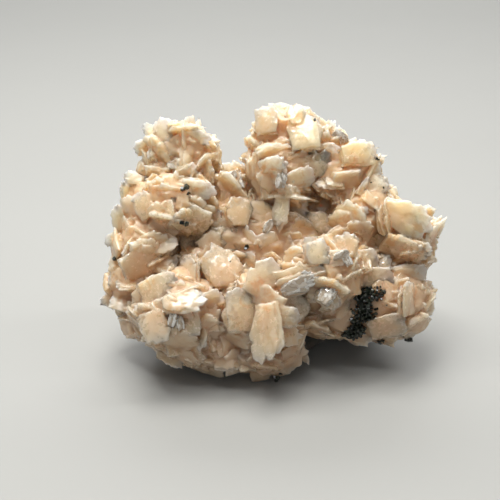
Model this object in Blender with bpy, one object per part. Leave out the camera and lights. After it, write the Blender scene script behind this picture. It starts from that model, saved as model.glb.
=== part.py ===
"""Stilbite cluster: peach-cream stilbite blades grown together over a foot of dark basalt, with a patch of
small dark crystals on the right lobe.

Tables are in millimetres and degrees, and MM turns lengths into Blender's metres. +Z is up, the front of the
specimen faces -Y, and the origin is on the floor under the middle of its bounding box.
"""

import math
import random
from collections import namedtuple

import bmesh
import bpy
from mathutils import Matrix, Vector, noise

MM = 0.001
SEED = 27
GAP = 0.35  # clearance between separate minerals

# The faceted detail that each mineral keeps.
STILBITE_TRIANGLES = 7150
DRUSE_TRIANGLES = 600

# The front view that the crystal table is drawn in: an eye in front of the specimen and above it. A
# crystal's across and up are read on the plane through AIM that faces the eye.
AIM = Vector((-10.0, 0.0, 55.0))
EYE_DISTANCE = 333.0
EYE_ELEVATION = math.radians(28.0)
RIGHTWARD = Vector((1.0, 0.0, 0.0))
UPWARD = Vector((0.0, math.sin(EYE_ELEVATION), math.cos(EYE_ELEVATION)))
TOWARD = Vector((0.0, -math.cos(EYE_ELEVATION), math.sin(EYE_ELEVATION)))
EYE = AIM + TOWARD * EYE_DISTANCE

# The middle of the finished bounding box in the tables' frame, which goes onto the origin.
MIDDLE_X = -0.35
MIDDLE_Y = 4.2
TO_WORLD = Matrix.Scale(MM, 4) @ Matrix.Translation((-MIDDLE_X, -MIDDLE_Y, 0.0))

# The massive stilbite that the crystals grow from, as overlapping lumps: centre and radii.
Lump = namedtuple("Lump", "name x y z rx ry rz")
LUMPS = [
    Lump("left_front", -41, -12, 32, 20, 16, 18),
    Lump("left_foot", -33, -14, 19, 20, 13, 11),
    Lump("left_toe", -53, -5, 25, 13, 12, 11),
    Lump("centre_front", -5, -13, 30, 18, 15, 21),
    Lump("centre_foot", -8, -16, 14, 22, 12, 10),
    Lump("right_centre", 22, -7, 47, 18, 14, 16),
    Lump("right_foot", 27, -5, 29, 17, 13, 12),
    Lump("right_lobe", 51, -4, 31, 19, 14, 17),
    Lump("far_right", 60, 10, 56, 13, 12, 14),
    Lump("right_middle", 41, 16, 65, 15, 14, 15),
    Lump("right_shoulder", 31, 24, 82, 16, 12, 13),
    Lump("right_neck", 22, 28, 93, 12, 9, 9),
    Lump("right_peak", 6, 25, 82, 17, 13, 18),
    Lump("right_summit", 7, 30, 98, 15, 9, 11),
    Lump("left_peak", -42, 30, 90, 14, 10, 13),
    Lump("left_neck", -44, 26, 80, 15, 11, 12),
    Lump("left_middle", -46, 17, 70, 18, 14, 15),
    Lump("left_side", -57, 10, 54, 12, 13, 15),
    Lump("left_low", -62, 3, 37, 12, 12, 12),
    Lump("saddle", -13, 20, 58, 19, 12, 14),
    Lump("saddle_crest", -18, 27, 73, 9, 8, 10),
    Lump("right_hollow", 37, 6, 46, 14, 12, 12),
    Lump("left_hollow", -31, 4, 42, 14, 12, 12),
    Lump("heart", 0, 16, 44, 46, 16, 24),
    Lump("left_back", -38, 28, 56, 20, 13, 22),
    Lump("middle_back", -4, 30, 52, 24, 13, 18),
    Lump("right_back", 28, 29, 56, 26, 13, 22),
]
LUMP_ROUGHNESS = 0.07
ROUGHNESS_PITCH = 1.7  # how quickly the roughness changes round a lump

# The basalt below and behind, that the specimen rests on.
BASALT = [
    Lump("foot", -9, 4, 12, 44, 24, 17),
    Lump("back", 0, 27, 20, 52, 15, 24),
    Lump("left_heel", -36, 19, 13, 22, 19, 20),
    Lump("right_heel", 33, 22, 17, 25, 17, 22),
    Lump("left_block", -27, 33, 27, 19, 11, 17),
    Lump("middle_block", 4, 36, 13, 21, 9, 17),
    Lump("right_block", 27, 33, 29, 18, 11, 17),
    Lump("left_corner", -47, 19, 23, 12, 14, 14),
    Lump("right_corner", 49, 20, 26, 11, 13, 13),
]
ROCK_CORNERS = 26  # corners of each lump of rock, between which it broke flat
ROCK_REACH = (0.78, 1.04)  # how far out a corner is, in shares of the lump's radii

# A crystal's outline: width across and length up, in shares of the crystal's own. The rim is at mid
# thickness and the flat face on each side is smaller.
Outline = namedtuple("Outline", "rim face")
OUTLINES = {
    "point": Outline(
        [(-0.36, -0.5), (0.36, -0.5), (0.5, -0.08), (0.45, 0.2), (0.05, 0.5), (-0.36, 0.3), (-0.5, 0.0)],
        [(-0.28, -0.42), (0.28, -0.42), (0.36, 0.1), (0.0, 0.36), (-0.36, 0.05)],
    ),
    "blunt": Outline(
        [(-0.4, -0.5), (0.4, -0.5), (0.5, 0.05), (0.4, 0.38), (0.12, 0.5), (-0.36, 0.4), (-0.5, 0.08)],
        [(-0.3, -0.42), (0.3, -0.42), (0.36, 0.25), (-0.1, 0.4), (-0.38, 0.1)],
    ),
    "leaf": Outline(
        [(-0.24, -0.5), (0.24, -0.5), (0.46, -0.22), (0.5, 0.1), (0.3, 0.4), (0.0, 0.5), (-0.34, 0.36),
         (-0.5, 0.04)],
        [(-0.24, -0.36), (0.26, -0.34), (0.36, 0.08), (0.02, 0.36), (-0.36, 0.08)],
    ),
    "block": Outline(
        [(-0.42, -0.5), (0.4, -0.5), (0.5, -0.1), (0.46, 0.38), (0.2, 0.5), (-0.32, 0.46), (-0.5, 0.2)],
        [(-0.34, -0.38), (0.34, -0.38), (0.38, 0.28), (-0.1, 0.38), (-0.38, 0.14)],
    ),
    "small": Outline(
        [(-0.4, -0.5), (0.4, -0.5), (0.5, 0.1), (0.22, 0.5), (-0.26, 0.44), (-0.5, 0.0)],
        [(-0.3, -0.4), (0.34, -0.1), (0.0, 0.36)],
    ),
}
UNEVENNESS = 0.08  # how far an outline's points stray, as a share of the crystal's size
THINNING = 0.8

# Crystals placed one by one. Each has the middle in the front view (across, up), the way its tip points
# there (turn, from the right), how far it leans towards the eye (lift), the turn about its own length
# (roll), its length, width and thickness, its outline, and how far it stands out from the lumps (proud).
Crystal = namedtuple("Crystal", "across up turn lift roll length width thick outline proud")


def crystal(across, up, turn, lift, roll, length, width, thick, outline, proud=0.0):
    return Crystal(across, up, turn, lift, roll, length, width, thick, outline, proud)


SHOWN = [
    # left peak
    crystal(-44, 52.5, 148, 10, 15, 10, 7, 3, "leaf"),
    crystal(-38.5, 52, 97, -10, 5, 15, 9, 3.5, "point"),
    crystal(-28, 54, 4, 0, 55, 18, 9, 4, "blunt"),
    crystal(-24, 50, -8, 10, 45, 17, 8, 3.5, "blunt"),
    crystal(-17.5, 47, -40, 15, 20, 10, 8, 3, "block"),
    crystal(-49, 45, 184, 5, -10, 10, 8.5, 3, "leaf"),
    crystal(-42.5, 44, 75, -15, 15, 11, 8, 3.5, "block"),
    crystal(-34, 37.5, 5, -20, 0, 7, 5, 4, "block"),
    crystal(-27, 43, 84, -20, 10, 12, 8, 3.5, "block"),
    crystal(-21, 42.5, 102, -10, 25, 11, 7.5, 3, "blunt"),
    crystal(-16, 41, 72, -10, 40, 10, 7, 3, "leaf"),
    crystal(-46.5, 37.5, 58, -15, -20, 10, 8, 3.5, "blunt"),
    crystal(-53, 32.5, 160, 5, 10, 10, 7, 3, "leaf"),
    crystal(-28, 34.5, 18, 10, 25, 11, 8, 3.5, "block"),
    crystal(-20, 32, 8, 10, -20, 9, 6, 3, "leaf"),
    # left middle
    crystal(-40, 26.5, 3, 0, 12, 18, 10, 4, "block", 2.0),
    crystal(-22, 26.5, -16, 10, 10, 17, 10, 4, "point", 2.0),
    crystal(-54.5, 25.5, 96, -5, 30, 13, 8, 3.5, "blunt"),
    crystal(-46.5, 20, 120, 0, 15, 12, 10, 4, "block"),
    crystal(-37.5, 16, 100, -10, -10, 13, 11, 4, "block", 1.0),
    crystal(-32, 18.5, 88, -5, 30, 10, 7, 3.5, "blunt"),
    crystal(-23.5, 19.5, 170, 5, 20, 13, 9, 4, "block"),
    crystal(-57.5, 14.5, 93, 0, -20, 13, 8, 3.5, "leaf"),
    crystal(-58.5, 4.5, 190, 10, 15, 13, 9, 4, "leaf"),
    crystal(-46.5, 13, 85, 20, 15, 12, 10, 4, "block", -3.0),
    crystal(-37.5, 1.5, 14, 0, -15, 16, 10, 4.5, "leaf", 2.0),
    crystal(-34.5, 9, 60, 10, -10, 9, 7, 3, "blunt"),
    crystal(-27.5, 5, 92, 0, 30, 14, 8, 4, "blunt", 1.0),
    crystal(-21, 3.5, 100, 20, 20, 10, 8, 3.5, "block", -2.0),
    crystal(-48.5, -5.5, 18, 5, 10, 18, 14, 5, "block", 2.0),
    crystal(-36, -6.5, 0, 15, 15, 11, 9, 4, "block"),
    crystal(-26.5, -9, 98, -5, -10, 16, 13, 4.5, "block", 1.5),
    crystal(-13, -7, 108, -5, 8, 21, 18, 5, "point", 4.0),
    crystal(-9.5, -2, 60, 10, 20, 7, 5.5, 3, "leaf", 5.0),
    crystal(-42, -16.5, 20, 0, 10, 19, 13, 5, "block", 1.5),
    crystal(-59, -6.5, 82, 0, 40, 13, 8, 4, "blunt"),
    crystal(-61, -14, 110, 0, 20, 8, 6, 3, "leaf"),
    crystal(-55, -15.5, 172, 10, 30, 10, 7, 3.5, "leaf"),
    crystal(-55, -23.5, 158, 5, 10, 15, 11, 4.5, "block", 1.0),
    crystal(-63, -22, 205, 5, 30, 9, 7, 3.5, "point"),
    crystal(-57, -30, 20, 5, 40, 11, 8, 4, "blunt"),
    # left front
    crystal(-28.5, -22, 4, 10, -35, 20, 12, 4, "point", 4.0),
    crystal(-32.5, -30, 268, 10, 50, 16, 7, 4, "blunt", 2.0),
    crystal(-26, -32, 268, 5, 10, 12, 9, 4, "block", 1.0),
    crystal(-41, -34, 282, 10, 8, 15, 13, 5, "leaf", 3.0),
    crystal(-21, -39, 264, 10, 40, 13, 6, 3, "point", 4.0),
    crystal(-17, -29.5, 92, 0, 10, 13, 10, 4, "block"),
    crystal(-18, -21.5, 20, 5, 15, 12, 10, 4, "block", 1.0),
    crystal(-49.5, -33, 100, 0, -15, 13, 9, 4, "blunt"),
    crystal(-52, -41, 100, 5, -20, 9, 7, 3.5, "leaf"),
    crystal(-39, -25, 10, 5, 20, 11, 8, 4, "block"),
    crystal(-43, -43, -10, 10, 20, 12, 8, 4, "block", -1.0),
    crystal(-30, -43, 16, 5, 10, 17, 11, 5, "leaf", 1.0),
    crystal(-37, -48, -22, 5, 30, 14, 8, 4, "block"),
    crystal(-24, -50.5, -18, 5, 35, 13, 8, 4, "blunt"),
    crystal(-15.5, -43, 88, 10, 15, 12, 10, 4, "block"),
    crystal(-9.5, -37.5, 92, 5, 25, 14, 9, 4, "block"),
    crystal(-15, -54, -12, 10, 30, 12, 8, 4, "block"),
    # centre front
    crystal(5.5, -11, 58, 0, 10, 18, 14, 5, "point", 3.0),
    crystal(0, -5, 90, 10, -10, 11, 9, 4, "leaf", 1.0),
    crystal(-4.5, -27.5, 88, 0, 8, 19, 16, 5.5, "block", 2.5),
    crystal(9.5, -21, 150, 0, -12, 14, 11, 4.5, "block", 2.5),
    crystal(6.5, -37, 266, 8, 12, 26, 13, 4.5, "leaf", 5.0),
    crystal(15, -29, -6, 5, 12, 14, 10, 4, "block", 3.0),
    crystal(16.5, -37, -4, 5, 10, 15, 10, 4, "point", 3.0),
    crystal(-1, -43, 232, 10, 40, 10, 6, 3.5, "leaf"),
    crystal(19, -44, 22, 5, 20, 12, 9, 4.5, "block"),
    crystal(25, -41.5, 245, 0, 25, 13, 9, 4, "blunt"),
    crystal(-9, -49.5, 0, 5, 20, 12, 9, 4, "block", 1.0),
    crystal(-2, -54, 80, 5, 15, 11, 9, 4, "block"),
    crystal(15.5, -52, 32, 5, 15, 12, 8, 4, "leaf"),
    crystal(5, -54.5, 20, 5, 25, 11, 8, 4, "block"),
    crystal(35.5, -36, 34, 0, 35, 15, 8, 4, "blunt"),
    # right centre
    crystal(28.5, 0.5, 100, -5, 6, 13, 12, 4.5, "leaf", 4.0),
    crystal(28, -8, 8, 0, 10, 25, 13, 5, "block", 2.0),
    crystal(39, -3, 30, 0, -20, 9, 7, 3.5, "leaf", 2.0),
    crystal(22, -14.5, 22, 10, 18, 15, 9, 4, "leaf", 3.5),
    crystal(34.5, -21.5, -22, 10, 10, 12, 9, 4, "leaf", 2.5),
    crystal(22, -24.5, 40, 10, 25, 14, 10, 4.5, "block", -3.0),
    crystal(31, -32, 16, 0, 35, 18, 10, 5, "block"),
    crystal(42, 2, 98, -5, 15, 12, 12, 4.5, "leaf", 2.0),
    crystal(49.5, -5, 12, 0, 10, 15, 12, 5, "block", 2.0),
    crystal(57.5, -6.5, 2, 0, 15, 10, 9, 4, "block", 2.0),
    crystal(54, -12, 4, 0, 40, 19, 10, 4.5, "block", 2.0),
    crystal(46, -16, 88, -5, 10, 10, 8, 4, "block", 1.5),
    crystal(40.5, -25, 60, 5, 20, 11, 7, 4, "blunt"),
    crystal(62, -17, 92, -5, 20, 11, 7, 4, "block", 1.0),
    crystal(61, -24.5, -20, 15, 30, 9, 7, 4, "block", -1.0),
    crystal(60, -33, 12, 5, 20, 17, 14, 5.5, "block", 1.0),
    crystal(68.5, -21, 88, -5, 20, 16, 12, 5, "block", 1.0),
    crystal(72, -32, 92, 0, 45, 15, 10, 4.5, "block"),
    crystal(48, -38.5, -18, 5, 30, 14, 8, 4.5, "blunt"),
    crystal(70, -10, 4, 5, 15, 16, 10, 4.5, "block", 1.0),
    crystal(72, 0, 10, 10, 15, 19, 11, 4.5, "leaf", 1.0),
    crystal(71.5, 12.5, -24, 5, 8, 23, 16, 5, "leaf", 4.0),
    crystal(56.5, 1.5, 80, 15, 10, 9, 9, 4, "block", -2.5),
    crystal(57.5, 16, 100, 0, 20, 18, 12, 4.5, "leaf", 1.5),
    crystal(55, 22, -30, 0, -30, 14, 9, 4, "block"),
    crystal(56, 28.5, -18, 5, 10, 13, 10, 4, "point", 1.0),
    crystal(50, 28, 56, 15, 60, 10, 6, 3, "blunt", 2.0),
    crystal(48, 42, 6, -5, 15, 18, 12, 4.5, "block", 1.0),
    crystal(43.5, 41, 80, 5, 10, 7, 5, 3, "leaf", 3.0),
    crystal(54, 36, -62, 0, 25, 11, 8, 4, "blunt"),
    crystal(42, 32, 2, 5, 20, 13, 10, 4, "block"),
    crystal(48.5, 16.5, 32, 10, -10, 8, 6, 3, "leaf", 2.0),
    crystal(42, 19, 300, 20, 50, 8, 5, 3, "point", 2.0),
    crystal(33.5, 13.5, -25, 5, 0, 16, 10, 4, "leaf", 4.0),
    crystal(42, 9.5, 20, 10, 20, 12, 10, 4.5, "block"),
    crystal(30, 24, 60, 10, 20, 8, 5, 3.5, "blunt", 1.0),
    crystal(35, 30, 172, 5, 15, 13, 9, 4, "blunt"),
    crystal(22, 9, 70, 15, 10, 14, 11, 5, "block", -3.0),
    crystal(15.5, 1, 20, 20, 15, 12, 10, 5, "block", -2.0),
    # right peak
    crystal(13, 14, 262, 8, 20, 20, 9, 4, "point", 5.0),
    crystal(6.5, 6, 202, 5, -15, 12, 7, 4, "point", 4.0),
    crystal(21, 20, 300, 5, 10, 14, 9, 4, "leaf", 3.0),
    crystal(12.5, 31, 300, 5, 30, 11, 7, 3.5, "leaf", 2.0),
    crystal(2.5, 32, 290, 5, 25, 24, 10, 4, "point", 1.0),
    crystal(8, 45, 14, 0, 25, 16, 12, 4.5, "leaf", 1.0),
    crystal(8, 57, 92, -5, 8, 14, 12, 4.5, "block"),
    crystal(20.5, 59.5, 90, 0, 15, 11, 9, 4, "leaf"),
    crystal(24, 51.5, 96, -5, 12, 17, 15, 5, "block", 1.0),
    crystal(34, 53, 60, 5, 40, 12, 8, 4, "blunt"),
    crystal(39.5, 50, -20, 5, 20, 8, 5, 3, "point"),
    crystal(29, 38, 20, 5, 15, 16, 12, 4.5, "block", 1.0),
    crystal(11, 37, 2, 10, 35, 14, 9, 4, "block", 1.0),
    crystal(22, 32, 20, 5, 25, 14, 10, 4.5, "block", 1.0),
    crystal(24, 26, 80, 5, 20, 12, 8, 4, "block"),
    crystal(33.5, 44, 4, 0, 20, 12, 9, 4, "block"),
    crystal(7, 26, 95, 10, 25, 12, 9, 4, "block"),
    # saddle
    crystal(-8.5, 33, 112, 0, 20, 12, 6, 3.5, "point"),
    crystal(-5.5, 31, 62, 5, -30, 11, 5.5, 3.5, "point"),
    crystal(-11, 35, 135, 0, 40, 10, 6, 3.5, "leaf"),
    crystal(-5.5, 18, 92, -5, 8, 14, 13, 5, "leaf", 2.0),
    crystal(-16, 14, 88, -5, -10, 10, 9, 4, "block", 1.0),
    crystal(-15.5, 4.5, 30, 5, 10, 15, 11, 5, "leaf"),
    crystal(5, 16.5, -20, 5, 25, 13, 10, 4, "block"),
    crystal(-4.5, 6, 100, 20, 15, 12, 9, 4.5, "block", -3.0),
    crystal(-16, 36, 60, 0, 40, 11, 7, 3.5, "blunt"),
]
PROMINENT = 2.5  # a crystal this proud is turned as given, and any other strays a little from it
STRAY_LIFT = 18.0
STRAY_ROLL = 34.0
HELD_DEPTH = 0.88  # how deep a crystal's foot is held, in shares of a lump's radii

# The crystals that no table gives, spread over the rest of the lumps.
AREA_PER_CRYSTAL = 115.0
LOWEST_CRYSTAL = 8.0
SHORTEST = 11.0
LONGEST = 17.0
FRONT_SHARE = 0.7  # those between the placed crystals are smaller
VEILED = 4.0  # how far behind the lumps' front a point still counts as seen

# The dark crystals on the right lobe: balls set into the stilbite, each bristling with square prisms.
Spot = namedtuple("Spot", "across up radius prisms")
DRUSE = [
    Spot(51.5, -20.5, 3.4, 9),
    Spot(47.5, -27.0, 3.8, 11),
    Spot(52.5, -27.0, 3.4, 9),
    Spot(45.5, -34.0, 4.2, 12),
    Spot(56.5, -19.0, 2.2, 5),
]
DRUSE_PROUD = 1.0
DRUSE_CLEARING = 5.0
PRISM_REACH = 1.9
PRISM_WIDTH = 1.9
PRISM_TAPER = 0.75
PRISM_SPREAD = math.radians(75.0)

GOLDEN_TURN = math.pi * (3 - math.sqrt(5))

Tablet = namedtuple("Tablet", "outline matrix")


def ray_through(across, up):
    """The way from the eye through a point of the front view."""
    return (AIM + RIGHTWARD * across + UPWARD * up - EYE).normalized()


def front_view(point):
    """Where the eye sees a point, as across and up."""
    ray = point - EYE
    offset = EYE + ray * (EYE_DISTANCE / -ray.dot(TOWARD)) - AIM
    return offset.dot(RIGHTWARD), offset.dot(UPWARD)


def centre_of(lump):
    return Vector((lump.x, lump.y, lump.z))


def radii_times(lump, vector):
    return Vector((vector.x * lump.rx, vector.y * lump.ry, vector.z * lump.rz))


def in_radii(lump, vector):
    return Vector((vector.x / lump.rx, vector.y / lump.ry, vector.z / lump.rz))


def depth_in(lump, point):
    """How far out a point is in a lump: 0 at its centre and 1 on its surface."""
    return in_radii(lump, point - centre_of(lump)).length


def entry_distance(lump, ray):
    """How far along the ray from the eye the lump begins, or None if the ray misses it."""
    start = in_radii(lump, EYE - centre_of(lump))
    step = in_radii(lump, ray)
    a = step.dot(step)
    b = 2 * start.dot(step)
    c = start.dot(start) - 1
    inside = b * b - 4 * a * c
    return None if inside < 0 else (-b - math.sqrt(inside)) / (2 * a)


def nearest_entry(ray):
    entries = [entry_distance(lump, ray) for lump in LUMPS]
    return min((e for e in entries if e is not None), default=None)


def miss_distance(lump, ray):
    offset = centre_of(lump) - EYE
    return (offset - ray * offset.dot(ray)).length - min(lump.rx, lump.rz)


def surface_point(across, up):
    """Where the front of the lumps lies behind a point of the front view, or the place beside them."""
    ray = ray_through(across, up)
    entry = nearest_entry(ray)
    if entry is None:
        nearest = min(LUMPS, key=lambda lump: miss_distance(lump, ray))
        entry = (centre_of(nearest) - EYE).dot(ray)
    return EYE + ray * entry


def tablet_matrix(along, facing, middle, width, thick, length):
    """Lays a unit tablet (width X, thickness Y, length Z) along a direction."""
    normal = (facing - along * facing.dot(along)).normalized()
    across = normal.cross(along)
    turned = Matrix((across, normal, along)).transposed().to_4x4()
    return Matrix.Translation(middle) @ turned @ Matrix.Diagonal((width, thick, length, 1.0))


def settled(matrix):
    """Moves a tablet that stands off the lumps inward until a corner of its foot is held."""
    feet = [matrix @ Vector((x, y, -0.45)) for x in (-0.35, 0.35) for y in (-0.4, 0.4)]
    foot, lump = min(((f, lump) for f in feet for lump in LUMPS), key=lambda pair: depth_in(pair[1], pair[0]))
    depth = depth_in(lump, foot)
    if depth < HELD_DEPTH:
        return matrix
    inward = (centre_of(lump) - foot) * (1 - HELD_DEPTH / depth)
    return Matrix.Translation(inward) @ matrix


def placed_tablets(rng):
    found = []
    for c in SHOWN:
        stray = 0.0 if c.proud >= PROMINENT else 1.0
        turn = math.radians(c.turn)
        lift = math.radians(c.lift + stray * rng.uniform(-STRAY_LIFT, STRAY_LIFT))
        roll = math.radians(c.roll + stray * rng.uniform(-STRAY_ROLL, STRAY_ROLL))
        flat = RIGHTWARD * math.cos(turn) + UPWARD * math.sin(turn)
        along = flat * math.cos(lift) + TOWARD * math.sin(lift)
        facing = Matrix.Rotation(roll, 3, along) @ (TOWARD - along * TOWARD.dot(along)).normalized()
        middle = surface_point(c.across, c.up) + TOWARD * c.proud
        matrix = tablet_matrix(along, facing, middle, c.width, c.thick * THINNING, c.length)
        found.append(Tablet(c.outline, settled(matrix)))
    return found


def seen_from_front(point, normal):
    ray = (point - EYE).normalized()
    if normal.dot(ray) > 0:
        return False
    entry = nearest_entry(ray)
    return entry is None or entry > (point - EYE).length - VEILED


def crowded(point):
    """Whether a placed crystal or the dark patch already fills this part of the front view."""
    across, up = front_view(point)
    for c in SHOWN:
        if math.hypot(across - c.across, up - c.up) < 0.15 * (c.length + c.width) + 3.0:
            return True
    return any(math.hypot(across - s.across, up - s.up) < s.radius + DRUSE_CLEARING for s in DRUSE)


def buried(point, own):
    """Whether the point lies inside another lump or in the basalt."""
    return any(lump is not own and depth_in(lump, point) < 0.95 for lump in LUMPS + BASALT)


def scattered_tablets(rng):
    """Crystals all over each lump: small between the placed ones, larger at the sides and behind."""
    found = []
    for lump in LUMPS:
        area = 4 * math.pi * (lump.rx * lump.ry + lump.rx * lump.rz + lump.ry * lump.rz) / 3
        count = int(area / AREA_PER_CRYSTAL)
        for i in range(count):
            height = 1 - 2 * (i + 0.5) / count
            around = i * GOLDEN_TURN + rng.uniform(-0.4, 0.4)
            level = math.sqrt(1 - height * height)
            out = Vector((level * math.cos(around), level * math.sin(around), height))
            point = centre_of(lump) + radii_times(lump, out)
            normal = in_radii(lump, out).normalized()
            edge_on = abs(normal.dot(TOWARD)) < 0.45
            tilt = math.radians(rng.uniform(45, 75) if edge_on else rng.uniform(15, 65))
            tangent = normal.orthogonal().normalized()
            tangent.rotate(Matrix.Rotation(rng.uniform(0, 2 * math.pi), 3, normal))
            along = normal * math.cos(tilt) + tangent * math.sin(tilt)
            facing = Vector((rng.gauss(0, 1), rng.gauss(0, 1), rng.gauss(0, 1)))
            length = rng.uniform(SHORTEST, LONGEST)
            width = length * rng.uniform(0.55, 0.8)
            thick = length * rng.uniform(0.18, 0.26)
            if buried(point, lump) or point.z < LOWEST_CRYSTAL:
                continue
            share = 1.0
            if seen_from_front(point, normal):
                if crowded(point):
                    continue
                share = FRONT_SHARE
            matrix = tablet_matrix(along, facing, point, share * width, share * thick, share * length)
            found.append(Tablet("small", matrix))
    return found


def add_hull(bm, points):
    hull = bmesh.ops.convex_hull(bm, input=[bm.verts.new(point) for point in points])
    bmesh.ops.delete(bm, geom=hull["geom_interior"], context="VERTS")


def add_tablet(bm, tablet, rng):
    """A closed tablet: the rim at mid thickness, and a smaller flat face on each side."""
    shape = OUTLINES[tablet.outline]
    points = []
    for outline, level in ((shape.face, -0.5), (shape.rim, 0.0), (shape.face, 0.5)):
        for x, z in outline:
            stray_x = rng.uniform(-UNEVENNESS, UNEVENNESS)
            stray_z = rng.uniform(-UNEVENNESS, UNEVENNESS)
            points.append(tablet.matrix @ Vector((x + stray_x, level, z + stray_z)))
    add_hull(bm, points)


def add_lump(bm, lump, grow=0.0):
    """A lump of stilbite as a faceted ball, a little uneven."""
    for vert in bmesh.ops.create_icosphere(bm, subdivisions=2, radius=1.0)["verts"]:
        out = vert.co.copy()
        uneven = 1 + LUMP_ROUGHNESS * noise.noise(out * ROUGHNESS_PITCH + centre_of(lump) * 0.11)
        reach = radii_times(lump, out) * uneven
        vert.co = centre_of(lump) + reach + reach.normalized() * grow


def add_rocks(bm, lumps, grow=0.0):
    """Broken lumps of rock: each is the hull of corners spread unevenly round it."""
    rng = random.Random(SEED)
    for lump in lumps:
        points = []
        for i in range(ROCK_CORNERS):
            height = 1 - 2 * (i + 0.5) / ROCK_CORNERS
            around = i * GOLDEN_TURN + rng.uniform(-0.5, 0.5)
            level = math.sqrt(1 - height * height)
            out = Vector((level * math.cos(around), level * math.sin(around), height))
            corner = centre_of(lump) + radii_times(lump, out) * rng.uniform(*ROCK_REACH)
            points.append(corner + in_radii(lump, out).normalized() * grow)
        add_hull(bm, points)


def spot_centre(spot):
    return surface_point(spot.across, spot.up) + TOWARD * (DRUSE_PROUD - spot.radius)


def spot_prisms(spot, grow=0.0):
    """The eight corners of each prism of a ball, four at its foot inside the ball and four at its end."""
    rng = random.Random(SEED + spot.prisms)
    centre = spot_centre(spot)
    found = []
    for i in range(spot.prisms):
        lean = PRISM_SPREAD * math.sqrt((i + 0.5) / spot.prisms)
        side = RIGHTWARD * math.cos(i * GOLDEN_TURN) + UPWARD * math.sin(i * GOLDEN_TURN)
        along = TOWARD * math.cos(lean) + side * math.sin(lean)
        across = along.orthogonal().normalized()
        across.rotate(Matrix.Rotation(rng.uniform(0, math.pi), 3, along))
        third = along.cross(across)
        half = PRISM_WIDTH * rng.uniform(0.4, 0.6) + grow
        end = spot.radius + PRISM_REACH * rng.uniform(0.6, 1.0) + grow
        corners = []
        for distance, share in ((0.4 * spot.radius, 1.0), (end, PRISM_TAPER)):
            for a, b in ((-1, -1), (1, -1), (1, 1), (-1, 1)):
                corners.append(centre + along * distance + (across * a + third * b) * half * share)
        found.append(corners)
    return found


def ball_points(centre, radius):
    ball = bmesh.new()
    bmesh.ops.create_icosphere(ball, subdivisions=1, radius=radius, matrix=Matrix.Translation(centre))
    points = [vert.co.copy() for vert in ball.verts]
    ball.free()
    return points


def solid(name, bm):
    """An object from a mesh in the tables' millimetres."""
    bmesh.ops.transform(bm, matrix=TO_WORLD, verts=bm.verts)
    mesh = bpy.data.meshes.new(name)
    bm.to_mesh(mesh)
    bm.free()
    obj = bpy.data.objects.new(name, mesh)
    bpy.context.scene.collection.objects.link(obj)
    return obj


def bake(obj):
    """Replaces the object's mesh by what its modifiers make of it."""
    graph = bpy.context.evaluated_depsgraph_get()
    made = bpy.data.meshes.new_from_object(obj.evaluated_get(graph))
    obj.modifiers.clear()
    obj.data = made
    made.name = obj.name


def boolean(obj, other, operation, use_self=False):
    """Applies an exact Boolean with another object, which is used up."""
    modifier = obj.modifiers.new(operation.lower(), "BOOLEAN")
    modifier.operation = operation
    modifier.solver = "EXACT"
    modifier.use_self = use_self
    modifier.object = other
    bake(obj)
    bpy.data.objects.remove(other)


def fuse(name, bm, core):
    """One solid from overlapping closed shapes. The core is one more, which lies inside them."""
    fused = solid(name, bm)
    boolean(fused, solid("core", core), "UNION", use_self=True)
    return fused


def simplify(obj, triangles):
    """Takes the many small facets along the joins away, down to a number of triangles."""
    bm = bmesh.new()
    bm.from_mesh(obj.data)
    bmesh.ops.triangulate(bm, faces=bm.faces)
    bm.to_mesh(obj.data)
    share = triangles / len(bm.faces)
    bm.free()
    if share < 1:
        obj.modifiers.new("simplify", "DECIMATE").ratio = share
        bake(obj)


def shells_of(bm):
    """The connected sets of points, smallest first."""
    left = set(bm.verts)
    shells = []
    while left:
        ahead = [left.pop()]
        shell = list(ahead)
        while ahead:
            vert = ahead.pop()
            for edge in vert.link_edges:
                other = edge.other_vert(vert)
                if other in left:
                    left.remove(other)
                    ahead.append(other)
                    shell.append(other)
        shells.append(shell)
    return sorted(shells, key=len)


def keep_largest_shell(obj):
    """Drops loose grains and sealed hollows."""
    bm = bmesh.new()
    bm.from_mesh(obj.data)
    for shell in shells_of(bm)[:-1]:
        bmesh.ops.delete(bm, geom=shell, context="VERTS")
    bm.to_mesh(obj.data)
    bm.free()


def fused_rock(name, grow=0.0):
    bm = bmesh.new()
    add_rocks(bm, BASALT, grow)
    core = bmesh.new()
    add_rocks(core, BASALT[:1], -3.0)
    return fuse(name, bm, core)


def make_basalt():
    """The rock, cut flat where it stands on the floor."""
    basalt = fused_rock("basalt_matrix")
    below = bmesh.new()
    size = Matrix.Diagonal((400.0, 400.0, 100.0, 1.0))
    bmesh.ops.create_cube(below, size=1.0, matrix=Matrix.Translation((0.0, 0.0, -50.0)) @ size)
    boolean(basalt, solid("below", below), "DIFFERENCE")
    keep_largest_shell(basalt)
    return basalt


def make_stilbite():
    rng = random.Random(SEED)
    bm = bmesh.new()
    for lump in LUMPS:
        add_lump(bm, lump)
    for tablet in placed_tablets(rng) + scattered_tablets(rng):
        add_tablet(bm, tablet, rng)
    core = bmesh.new()
    add_lump(core, LUMPS[-1], -2.0)
    stilbite = fuse("stilbite_crystals", bm, core)
    simplify(stilbite, STILBITE_TRIANGLES)
    boolean(stilbite, fused_rock("rock_pocket", 1.4 * GAP), "DIFFERENCE")
    boolean(stilbite, make_druse_pocket(), "DIFFERENCE")
    keep_largest_shell(stilbite)
    return stilbite


def make_druse():
    bm = bmesh.new()
    for spot in DRUSE:
        add_hull(bm, ball_points(spot_centre(spot), spot.radius))
        for corners in spot_prisms(spot):
            add_hull(bm, corners)
    core = bmesh.new()
    add_hull(core, ball_points(spot_centre(DRUSE[0]), 0.5 * DRUSE[0].radius))
    druse = fuse("dark_crystal_patch", bm, core)
    keep_largest_shell(druse)
    simplify(druse, DRUSE_TRIANGLES)
    return druse


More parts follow.
